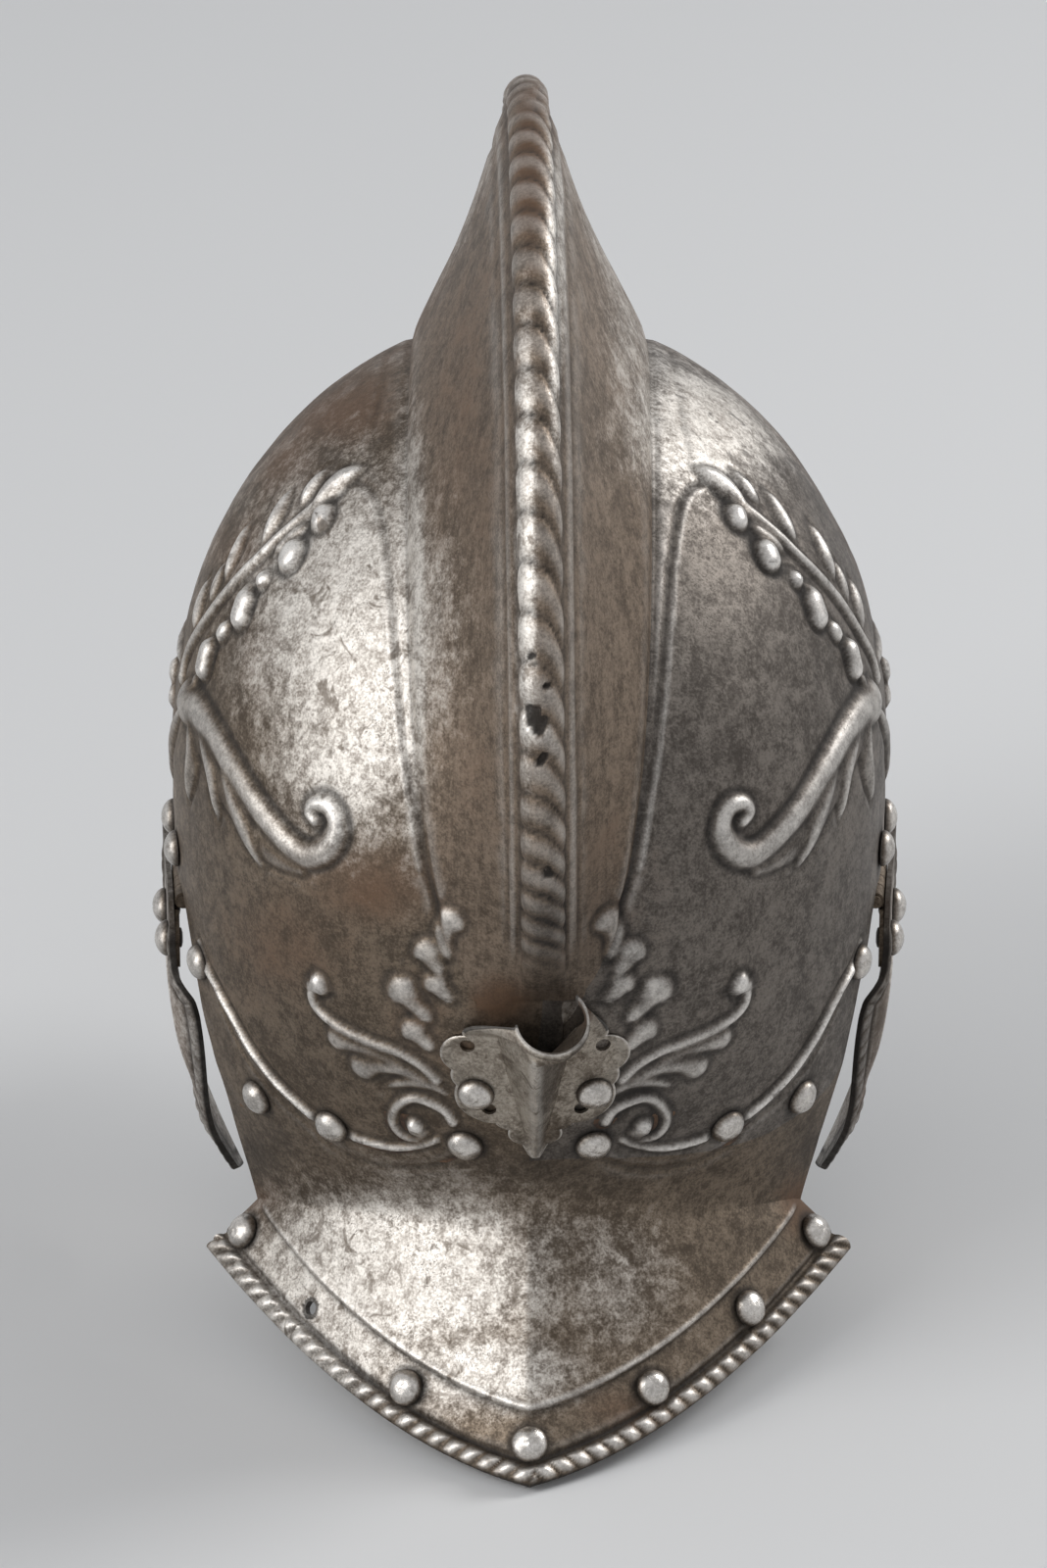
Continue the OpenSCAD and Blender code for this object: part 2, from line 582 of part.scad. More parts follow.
// A leaf is widest near its middle and pointed at both ends.
leaf_point = 0.15;
berry_sides = 8;
module leaf(drawn, w, h) {
    spots = [for (u = drawn) on_wall(u)];
    run = spots[2][0] - spots[0][0];
    band([for (i = [0:2]) let (
        size = i == 1 ? 1 : leaf_point,
        out = spots[i][1],
        side = unit(cross(run, out)) * w * size,
        foot = spots[i][0] - out * stem_sink,
        top = spots[i][0] + out * h * size)
        [foot - side, top - side * roof_w / 2, top + side * roof_w / 2, foot + side]]);
}

module berry(u, size = 1) {
    p = on_wall(u);
    r = berry_r * size;
    h = berry_h * size;
    at(p[0], p[1]) rotate_extrude($fn = berry_sides)
        polygon([[0, -stem_sink], [r, -stem_sink], [r * 0.92, h * 0.4], [r * 0.6, h * 0.85], [0, h]]);
}

branch = [[350, 495], [283, 550], [229, 607], [188, 684]];
branch_leaves = [[[331, 481], [322, 492], [311, 505]], [[297, 501], [286, 518], [273, 540]],
    [[214, 590], [209, 606], [203, 626]]];
berries = [[329, 528, 0.86], [298, 567, 1], [250, 623, 0.93], [212, 674, 0.88]];
scroll = [[198, 718], [225, 750], [254, 800], [284, 842], [308, 867], [330, 871], [345, 851], [336, 821],
    [317, 825]];
scroll_leaf = [[236, 808], [248, 836], [262, 874]];
vine = [[330, 1006], [317, 998], [319, 1022], [343, 1043], [398, 1068], [441, 1098]];
vine_leaf = [[366, 1094], [400, 1088], [440, 1104]];
curl = [[460, 1140], [444, 1126], [414, 1123], [402, 1144], [424, 1162]];
cluster = [[[458, 930], [446, 960], [455, 986]], [[396, 1004], [418, 1020], [441, 1037]]];

module ornament() {
    stem(branch, vine_w * 0.8, vine_h * 0.7);
    leaf([[372, 478], [345, 492], [318, 517]], berry_r, scroll_h);
    for (l = branch_leaves) leaf(l, scroll_w, vine_h);
    for (b = berries) berry(b, b[2]);
    stem(scroll, scroll_w, scroll_h, [0.6, 0.45]);
    leaf(scroll_leaf, scroll_w, vine_h);
    stem(vine, vine_w, vine_h, [0.7, 0.9]);
    leaf(vine_leaf, scroll_w, vine_h * 0.9);
    stem(curl, vine_w, vine_h, [0.9, 0.5]);
    for (l = cluster) leaf(l, scroll_w, vine_h);
}

module skull() {
    color(steel) difference() {
        union() {
            skull_plate();
            both_sides() ornament();
        }
        holes(rim_rivet_places, plate + 3);
        holes(brow_places, plate + 3);
        holes(guard_places, plate + 3);
        holes([lost_rivet], plate + 3);
        both_sides() holes(skull_hinge_places, plate + 3);
        holes(holder_places, plate + 3);
    }
}

module nape_lining_rivets() {
    color(bright) {
        rivets(nape_places, lined_depth);
        rivets(ear_places, bare_depth);
    }
}

module nape_lining_washers() {
    color(bright) {
        washers(nape_places, lined_depth);
        washers(ear_places, bare_depth);
    }
}

module brow_lining_rivets() {
    color(bright) rivets(brow_places, lined_depth);
}

module brow_lining_washers() {
    color(bright) washers(brow_places, lined_depth);
}

// The rivet at the tip goes through the ridge, so its washer lies deeper.
guard_depth = bare_depth + guard_lift;
ridge_depth = guard_depth + 1.9;
tip_place = [guard_places[0]];
side_places = [for (k = [1:len(guard_places) - 1]) guard_places[k]];

module neck_guard_rivets() {
    color(bright) {
        rivets(tip_place, ridge_depth);
        rivets(side_places, guard_depth);
    }
}

module neck_guard_washers() {
    color(bright) {
        washers(tip_place, ridge_depth);
        washers(side_places, guard_depth);
    }
}

// Inner and outer corners of the band at one station, below and above.
function band_station(low, low_out, high, high_out) = [
    high - high_out * (plate + band_gap), low - low_out * (plate + band_gap),
    low - low_out * (plate + band_gap + band_t), high - high_out * (plate + band_gap + band_t)];

module nape_lining_band() {
    half = band_w / 2;
    stations = [for (a = [-band_end:4:band_end]) let (
        z = nape_band_z(a),
        rise_here = (nape_band_z(a + 1) - nape_band_z(a - 1)) / 2,
        run = half_w * PI / 180,
        lean = unit([run, rise_here]),
        across = lean[1] * half / run,
        low_a = a + across,
        high_a = a - across,
        low_z = z - lean[0] * half,
        high_z = z + lean[0] * half,
        low_x = half_x(low_z) * sin(low_a),
        high_x = half_x(high_z) * sin(high_a))
        band_station(back_wall(low_x, low_z), back_normal(low_x, low_z),
            back_wall(high_x, high_z), back_normal(high_x, high_z))];
    color(leather) difference() {
        band(stations);
        holes(nape_places, lined_depth + 1);
    }
}

module brow_lining_band() {
    stations = [for (a = [-brow_band_end:4:brow_band_end]) let (
        low_z = brow_band_z - band_w / 2,
        high_z = brow_band_z + band_w / 2,
        low_x = -half_x(low_z) * sin(a),
        high_x = -half_x(high_z) * sin(a))
        band_station(front_wall(low_x, low_z), front_normal(low_x, low_z),
            front_wall(high_x, high_z), front_normal(high_x, high_z))];
    color(leather) difference() {
        band(stations);
        holes(brow_places, lined_depth + 1);
    }
}

// The plume holder: a sheet on the nape with lobes along its outline. It is
// creased down the middle and rolled to a tube, open to the comb, at its mouth.
holder_rows = 20;
holder_cols = 9;
holder_gap = 0.35;
tube_open = 105;
tube_share = 0.22;
lobe_share = [[0, 0.5], [0.12, 0.5], [0.2, 0.78], [0.3, 0.8], [0.36, 1], [0.42, 0.98],
    [0.48, 0.86], [0.62, 0.86], [0.7, 0.42], [0.78, 0.4], [0.88, 0.24], [1, 0.05]];
function share_at(s, k = 0) = let (a = lobe_share[k], b = lobe_share[k + 1])
    s <= b[0] ? mix(a[1], b[1], ramp((s - a[0]) / (b[0] - a[0]))) : share_at(s, k + 1);
holder_x = -1.5;
mouth_x = -3.8;
tube_twist = 25;
crease_top = 2 * tube_r;
fold_reach = 11;
function holder_point(c, s) = let (
    f = abs(c) / holder_cols,
    side = c < 0 ? -1 : 1,
    flat = ramp(s / tube_share),
    turn = side * tube_open * f - tube_twist,
    wing = holder_half_w * share_at(s) * f,
    fold = crease_top * (1 - s) * max(0, 1 - wing / (fold_reach * (1 - s) + 0.5)),
    x = holder_x + mix(mouth_x + tube_r * sin(turn), side * wing, flat),
    off = mix(tube_r * (1 + cos(turn)), fold, flat),
    z = -holder_top_z - holder_len * s - lip_drop * (off / crease_top - 0.5) * (1 - flat))
    back_wall(x, z) + (off + holder_gap) * back_normal(x, z);
holder_grid = [for (i = [0:holder_rows]) [for (c = [-holder_cols:holder_cols])
    holder_point(c, i / holder_rows)]];
holder_rivet_z = 52.3;
holder_rivet_x = 15.3;
notch_at = [[9.6, 33], [17.5, 36.6], [12, 57.5]];
holder_places = [for (s = [-1, 1]) nape_place(holder_x + s * holder_rivet_x, -holder_rivet_z)];
holder_notches = [for (s = [-1, 1]) for (q = notch_at) nape_place(holder_x + s * q[0], -q[1])];

module plume_holder() {
    outer = [for (i = [0:holder_rows]) [for (j = [0:2 * holder_cols])
        holder_grid[i][j] + grid_normal(holder_grid, i, j) * sheet]];
    color(steel) difference() {
        shell(outer, holder_grid);
        holes(holder_places, plate + 3);
        for (p = holder_notches) at(p[0], p[1]) cylinder(r = notch_r, h = 2 * tube_r);
    }
}

module plume_holder_rivets() {
    color(bright) for (p = holder_places)
        at(p[0] + p[1] * (holder_gap + sheet), p[1]) rivet(grip_of(plate + holder_gap + sheet));
}

// A cheekpiece in its hinge's frame: four curved edges in side view, and how
// far the plate stands outwards at each point of it.
cheek_top = 0.8;
top_drop = 3.5;
back_notch = 6;
chin = [-cheek_front - 10, -cheek_len * 0.78];
heel = [8, -cheek_len * 0.935];
chin_pull = [-32, -cheek_len * 1.13];
fore_pull = [-cheek_front + 7, -cheek_len * 0.42];
aft_pull = [cheek_back + 20, -cheek_len * 0.4];
function cheek_upper(s) = let (y = mix(-cheek_front, cheek_back, s))
    [y, cheek_top - top_drop * ramp((y - hinge_len / 2) / (cheek_back - hinge_len / 2))];
function cheek_lower(s) = bezier2(chin, chin_pull, heel, s);
function cheek_fore(t) = bezier2(cheek_upper(0), fore_pull, chin, t);
function cheek_aft(t) = bezier2(cheek_upper(1), aft_pull, heel, t)
    - [back_notch * ramp(t / 0.15) * ramp((0.3 - t) / 0.08), 0];
function cheek_flat(s, t) = mix(cheek_fore(t), cheek_aft(t), s) + mix(cheek_upper(s), cheek_lower(s), t)
    - mix(mix(cheek_upper(0), cheek_upper(1), s), mix(chin, heel, s), t);
boss_at = [-6, -cheek_len * 0.48];
flat_h = leaf_h;
fore_ease = 0.5;
fore_turn = 2;
hang_out = 2.6;
function cheek_bulge(y, z) = let (
    down = max(0, -z - flat_h) / (cheek_len - flat_h),
    low = ramp(-z / 30),
    ring = norm([y, z] - boss_at) / boss_r)
    hang_out * down - cheek_turn * pow(down, 1.6) * (1 - fore_ease * ramp(-y / cheek_front))
    - low * 10.5 * pow(max(0, y - 15) / 17, 2) - low * fore_turn * pow(max(0, -y - 16) / 30, 2)
    + boss_h * pow(max(0, 1 - ring * ring), 1.5);
cheek_cells = 16;
cheek_grid = [for (i = [0:cheek_cells]) [for (j = [0:cheek_cells])
    let (f = cheek_flat(1 - j / cheek_cells, i / cheek_cells))
    [cheek_in + cheek_bulge(f[0], f[1]), f[0], f[1]]]];
ear_hole_r = 2.1;
ear_ring = 10;

module cheekpiece() {
    outer = [for (i = [0:cheek_cells]) [for (j = [0:cheek_cells])
        cheek_grid[i][j] + grid_normal(cheek_grid, i, j) * cheek_t]];
    hinge_frame() difference() {
        shell(outer, cheek_grid);
        translate([cheek_in - 6, boss_at[0], boss_at[1]]) rotate([0, 90, 0]) {
            cylinder(r = ear_hole_r, h = 24);
            for (a = [0:60:300]) rotate(a) translate([ear_ring, 0, 0]) cylinder(r = ear_hole_r, h = 24);
        }
        for (y = [-hinge_rivet_y, hinge_rivet_y]) translate([0, y, -hinge_rivet_z]) rotate([0, 90, 0])
            cylinder(r = shank_r + shank_gap, h = cheek_out + 3);
    }
}

module skull_hinge_leaf() {
    difference() {
        hinge_frame() hinge_leaf(1, 0);
        holes(skull_hinge_places, skull_hinge_depth + 6);
    }
}

module cheek_hinge_leaf() {
    hinge_frame() difference() {
        hinge_leaf(-1, 1);
        for (y = [-hinge_rivet_y, hinge_rivet_y]) translate([0, y, -hinge_rivet_z]) rotate([0, 90, 0])
            cylinder(r = shank_r + shank_gap, h = cheek_out + 3);
    }
}

module hinge_pin() {
    head = 0.8;
    hinge_frame() rotate([90, 0, 0]) {
        cylinder(r = pin_r, h = hinge_len + 0.6, center = true);
        for (s = [-1, 1]) translate([0, 0, s * (hinge_len / 2 + 0.1 + head / 2)])
            cylinder(r = pin_r * 1.7, h = head, center = true);
    }
}

module skull_hinge_rivets() {
    for (p = skull_hinge_places) at(p[0], p[1]) rivet(skull_hinge_depth);
}

module cheek_hinge_rivets() {
    hinge_frame() for (y = [-hinge_rivet_y, hinge_rivet_y])
        translate([cheek_out, y, -hinge_rivet_z]) rotate([0, 90, 0]) rivet(cheek_t + running + leaf_t + 0.1);
}

module left(colour) {
    color(colour) children();
}

module right(colour) {
    color(colour) mirror([1, 0, 0]) children();
}

skull();
plume_holder();
plume_holder_rivets();
nape_lining_rivets();
nape_lining_washers();
nape_lining_band();
brow_lining_rivets();
brow_lining_washers();
brow_lining_band();
neck_guard_rivets();
neck_guard_washers();
left(steel) cheekpiece();  // left_cheekpiece
left(steel) skull_hinge_leaf();  // left_skull_hinge_leaf
left(steel) cheek_hinge_leaf();  // left_cheek_hinge_leaf
left(bright) hinge_pin();  // left_hinge_pin
left(bright) skull_hinge_rivets();  // left_skull_hinge_rivets
left(bright) cheek_hinge_rivets();  // left_cheek_hinge_rivets
right(steel) cheekpiece();  // right_cheekpiece
right(steel) skull_hinge_leaf();  // right_skull_hinge_leaf
right(steel) cheek_hinge_leaf();  // right_cheek_hinge_leaf
right(bright) hinge_pin();  // right_hinge_pin
right(bright) skull_hinge_rivets();  // right_skull_hinge_rivets
right(bright) cheek_hinge_rivets();  // right_cheek_hinge_rivets
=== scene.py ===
"""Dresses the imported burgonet: hammered steel plates with a roped crest and
roped edges, embossed branches and scrolls, rivets, hinges, a plume holder,
cheekpieces and the leather bands of the lining. All sizes are in millimetres
in the row's frame until a mesh is made."""

import logging
import math
from collections.abc import Callable
from dataclasses import dataclass, field
from enum import Enum

import bpy
import numpy as np
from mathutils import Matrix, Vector


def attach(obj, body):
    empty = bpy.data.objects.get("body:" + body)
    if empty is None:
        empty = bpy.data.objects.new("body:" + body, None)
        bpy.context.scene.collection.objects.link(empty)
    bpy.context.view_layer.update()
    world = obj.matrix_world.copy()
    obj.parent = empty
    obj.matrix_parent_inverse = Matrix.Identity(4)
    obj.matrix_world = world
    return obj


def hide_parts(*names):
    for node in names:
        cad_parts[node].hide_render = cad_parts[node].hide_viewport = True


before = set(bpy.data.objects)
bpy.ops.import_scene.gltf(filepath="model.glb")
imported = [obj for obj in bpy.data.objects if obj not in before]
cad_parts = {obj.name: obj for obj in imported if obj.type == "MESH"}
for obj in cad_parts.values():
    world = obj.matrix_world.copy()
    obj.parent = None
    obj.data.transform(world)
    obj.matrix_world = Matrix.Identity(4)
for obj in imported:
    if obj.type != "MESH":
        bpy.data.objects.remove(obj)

Array = np.ndarray
Number = Array | float
Pair = tuple[float, float]
Triple = tuple[float, float, float]
Color = tuple[float, float, float, float]
Faces = list[list[int]]
Item = bpy.types.Object
Material = bpy.types.Material
Tree = bpy.types.NodeTree
Socket = bpy.types.NodeSocket
Sockets = bpy.types.bpy_prop_collection
MM = 0.001
HELMET = "helmet"
SIDES = ("left", "right")
OFF_THE_BOWL = -90.0
FAR = 1e3
NOISE_PRIMES = (73856093, 19349663, 83492791)
NOISE_SEED = 2654435761
NOISE_MIX = 1274126177
log = logging.getLogger("burgonet")


def mix(a: Number, b: Number, f: Number) -> Number:
    """Returns the blend of a and b at f."""
    return a + (b - a) * f


def ramp(f: Number) -> Array:
    """Returns a smooth rise from 0 to 1 while f goes from 0 to 1."""
    g = np.clip(f, 0.0, 1.0)
    return g * g * (3 - 2 * g)


def dome(x: Number) -> Array:
    """Returns a half circle of height 1 over -1 to 1, and 0 beside it."""
    return np.sqrt(np.maximum(0, 1 - x**2))


def hill(x: Array, width: float) -> Array:
    """Returns a bell curve of height 1 round 0."""
    return np.exp(-((x / width) ** 2))


def way_along(line: Array) -> Array:
    """Returns the way from the start of a line to each of its points."""
    return np.concatenate([[0], np.cumsum(length_of(np.diff(line, axis=0)))])


def length_of(v: Array) -> Array:
    """Returns the length of v along its last axis."""
    return np.linalg.norm(v, axis=-1)


def unit(v: Array) -> Array:
    """Returns v at length 1 along its last axis."""
    return v / np.maximum(np.linalg.norm(v, axis=-1, keepdims=True), 1e-9)


def bezier2(a: Array, b: Array, c: Array, f: Number) -> Array:
    """Returns the point at f of a curve with one pull point."""
    return mix(mix(a, b, f), mix(b, c, f), f)


def bezier3(a: Array, b: Array, c: Array, d: Array, f: Number) -> Array:
    """Returns the point at f of a curve with two pull points."""
    return mix(bezier2(a, b, c, f), bezier2(b, c, d, f), f)


def flipped(p: Array) -> Array:
    """Returns points on the other side of the middle plane."""
    return p * np.array([-1.0, 1.0, 1.0])


def lattice_noise(points: Array, size: float, seed: int) -> Array:
    """Makes smooth seeded noise, the same on each run.

    Args:
        points: places, with x, y and z on the last axis.
        size: width of one swell, in the same unit.
        seed: picks the pattern.

    Returns:
        One value from -1 to 1 for each place.
    """
    q = points / size
    low = np.floor(q).astype(np.int64)
    f = ramp(q - low)
    total = np.zeros(points.shape[:-1])
    for corner in np.ndindex(2, 2, 2):
        cell = low + np.array(corner)
        key = np.full(cell.shape[:-1], seed * NOISE_SEED)
        for axis, prime in enumerate(NOISE_PRIMES):
            key = key ^ cell[..., axis] * prime
        key = (key ^ (key >> 13)) * NOISE_MIX & 0xFFFFFFFF
        key = (key ^ (key >> 16)) & 0xFFFF
        weight = np.ones(points.shape[:-1])
        for axis in range(3):
            weight = weight * (f[..., axis] if corner[axis] else 1 - f[..., axis])
        total += weight * (key / 32767.5 - 1)
    return total


def grid_normals(g: Array) -> Array:
    """Returns the outward normals of a grid whose rows run down the back and
    whose columns run from the right to the left."""
    return unit(np.cross(np.gradient(g, axis=1), np.gradient(g, axis=0)))


def blurred(h: Array, passes: int) -> Array:
    """Softens a grid of values.

    Args:
        h: the values.
        passes: how often each value moves towards its neighbours.

    Returns:
        The softened grid.
    """
    out = h.copy()
    for _ in range(passes):
        for axis in (0, 1):
            pad = [(1, 1) if k == axis else (0, 0) for k in range(2)]
            p = np.pad(out, pad, mode="edge")
            a = np.take(p, range(0, out.shape[axis]), axis)
            b = np.take(p, range(2, out.shape[axis] + 2), axis)
            out = (a + 2 * out + b) / 4
    return out


def relaxed(grid: Array, middle: Array, reach: float, passes: int = 200) -> None:
    """Stretches a small part of a grid smoothly between its surroundings.

    Args:
        grid: points, which change.
        middle: middle of the part.
        reach: how far it goes, in mm.
        passes: how often each point moves to the mean of its neighbours.
    """
    i, j = np.nonzero(length_of(grid - middle) < reach)
    if not len(i):
        return
    part = grid[i.min() - 1 : i.max() + 2, j.min() - 1 : j.max() + 2]
    for _ in range(passes):
        part[1:-1, 1:-1] = (part[2:, 1:-1] + part[:-2, 1:-1] + part[1:-1, 2:] + part[1:-1, :-2]) / 4


def smooth_line(points: Array, step: float) -> tuple[Array, Array]:
    """Runs a smooth line through points.

    Args:
        points: the points to go through.
        step: distance between the samples.

    Returns:
        The samples, and for each its share of the way.
    """
    pts = np.asarray(points, float)
    if len(pts) < 2:
        return pts, np.zeros(len(pts))
    ends = np.vstack([2 * pts[0] - pts[1], pts, 2 * pts[-1] - pts[-2]])
    out = []
    for k in range(1, len(ends) - 2):
        a, b, c, d = ends[k - 1], ends[k], ends[k + 1], ends[k + 2]
        n = max(2, int(np.linalg.norm(c - b) / step))
        f = np.linspace(0, 1, n, endpoint=False)[:, None]
        bend = (2 * a - 5 * b + 4 * c - d) * f**2 + (3 * b - a - 3 * c + d) * f**3
        out.append(0.5 * (2 * b + (c - a) * f + bend))
    line = np.vstack([*out, ends[-2][None]])
    run = way_along(line)
    return line, run / max(run[-1], 1e-9)


def nearest(points: Array, line: Array, batch: int = 64) -> tuple[Array, Array]:
    """Finds the sample of a line that lies nearest to each point.

    Args:
        points: the points.
        line: the samples.
        batch: how many samples are compared at a time.

    Returns:
        Each point's distance to its sample, and the sample's number.
    """
    best, number = np.full(len(points), 1e9), np.zeros(len(points), int)
    for k in range(0, len(line), batch):
        d = length_of(points[:, None] - line[None, k : k + batch])
        at = d.argmin(1)
        near = d[np.arange(len(points)), at]
        closer = near < best
        best[closer], number[closer] = near[closer], k + at[closer]
    return best, number


@dataclass
class Skin:
    """A sheet of plate: an outer grid, an inner grid with every second row and
    column of it, and a mask of the kept blocks of two by two cells."""

    outer: Array
    inner: Array
    keep: Array
    values: dict[str, Array] = field(default_factory=dict)

    def build(self, name: str) -> Item:
        """Makes the mesh object of the sheet, with its walls at every edge.

        Args:
            name: name of the piece.

        Returns:
            The new object, in metres.
        """
        m, l = self.outer.shape[1], self.inner.shape[1]
        i, j = np.nonzero(np.repeat(np.repeat(self.keep, 2, 0), 2, 1))
        v = i * m + j
        outer_faces = np.stack([v, v + 1, v + m + 1, v + m], 1)
        i, j = np.nonzero(self.keep)
        w = self.outer.shape[0] * m + i * l + j
        inner_faces = np.stack([w, w + l, w + l + 1, w + 1], 1)
        walls = self._walls()
        faces = outer_faces.tolist() + inner_faces.tolist() + walls
        points = np.vstack([self.outer.reshape(-1, 3), self.inner.reshape(-1, 3)])
        used = np.zeros(len(points), bool)
        for f in (outer_faces, inner_faces):
            used[f.ravel()] = True
        renumber = np.cumsum(used) - 1
        faces = [[int(renumber[q]) for q in f] for f in faces]
        mesh = bpy.data.meshes.new(name)
        mesh.from_pydata((points[used] * MM).tolist(), [], faces)
        mesh.update()
        for label, grid in self.values.items():
            both = np.concatenate([grid.ravel(), grid[::2, ::2].ravel()])[used]
            store_values(mesh, label, both)
        normals = [grid_normals(self.outer).reshape(-1, 3), -grid_normals(self.inner).reshape(-1, 3)]
        set_normals(mesh, np.vstack(normals)[used], len(faces) - len(walls))
        return link_mesh(name, mesh)

    def _walls(self) -> Faces:
        """Returns the faces that close the sheet along the mask's edges."""
        n, m, l = *self.outer.shape[:2], self.inner.shape[1]
        walls = []
        kept = np.pad(self.keep, 1)
        for bi, bj in zip(*np.nonzero(self.keep)):
            o = (2 * bi) * m + 2 * bj
            q = n * m + bi * l + bj
            if not kept[bi, bj + 1]:
                walls.append([o + 2, o + 1, o, q, q + 1])
            if not kept[bi + 2, bj + 1]:
                walls.append([o + 2 * m, o + 2 * m + 1, o + 2 * m + 2, q + l + 1, q + l])
            if not kept[bi + 1, bj]:
                walls.append([o, o + m, o + 2 * m, q + l, q])
            if not kept[bi + 1, bj + 2]:
                walls.append([o + 2 * m + 2, o + m + 2, o + 2, q + 1, q + l + 1])
        return [[int(x) for x in w] for w in walls]


def store_values(mesh: bpy.types.Mesh, label: str, values: Array) -> None:
    """Stores one number for each point of a mesh under a label."""
    data = mesh.attributes.new(label, "FLOAT", "POINT")
    data.data.foreach_set("value", np.ascontiguousarray(values, dtype=np.float32))


def set_normals(mesh: bpy.types.Mesh, normals: Array, smooth_faces: int) -> None:
    """Sets the shading of a sheet: smooth on its first faces, flat on its walls.

    Args:
        mesh: mesh of the sheet.
        normals: normals of its points.
        smooth_faces: how many faces come before the walls.
    """
    mesh.shade_smooth()
    loops = np.zeros(len(mesh.loops), np.int64)
    mesh.loops.foreach_get("vertex_index", loops)
    loop_normals = normals[loops].copy()
    start = np.zeros(len(mesh.polygons), np.int64)
    mesh.polygons.foreach_get("loop_start", start)
    if smooth_faces < len(mesh.polygons):
        flat = np.zeros(len(mesh.polygons) * 3)
        mesh.polygons.foreach_get("normal", flat)
        flat = flat.reshape(-1, 3)
        first = start[smooth_faces]
        owner = np.searchsorted(start, np.arange(first, len(loops)), side="right") - 1
        loop_normals[first:] = flat[owner]
    mesh.normals_split_custom_set(loop_normals.tolist())


def link_mesh(name: str, mesh: bpy.types.Mesh) -> Item:
    """Puts a mesh into the scene as an object with that name."""
    obj = bpy.data.objects.new(name, mesh)
    bpy.context.scene.collection.objects.link(obj)
    return obj


def mesh_object(name: str, points: Array, faces: Faces, smooth_angle: float) -> Item:
    """Makes an object that is smooth but for its sharp edges.

    Args:
        name: name of the piece.
        points: its points, in mm.
        faces: its faces.
        smooth_angle: angle in degrees from which an edge is sharp.

    Returns:
        The new object, in metres.
    """
    mesh = bpy.data.meshes.new(name)
    mesh.from_pydata((np.asarray(points) * MM).tolist(), [], faces)
    mesh.update()
    mesh.shade_smooth()
    mesh.set_sharp_from_angle(angle=math.radians(smooth_angle))
    return link_mesh(name, mesh)


def tube_faces(rings: int, around: int, base: int = 0) -> Faces:
    """Returns the faces between rings of points, each joined to the next."""
    return [[base + k * around + j, base + k * around + (j + 1) % around,
             base + (k + 1) * around + (j + 1) % around, base + (k + 1) * around + j]
            for k in range(rings - 1) for j in range(around)]


def axes_at(out: Array) -> Array:
    """Returns three unit columns whose last is the given direction."""
    up = np.array([0.0, 0.0, 1.0]) if abs(out[2]) < 0.9 else np.array([1.0, 0.0, 0.0])
    side = unit(np.cross(up, out))
    return np.stack([side, np.cross(out, side), out], 1)


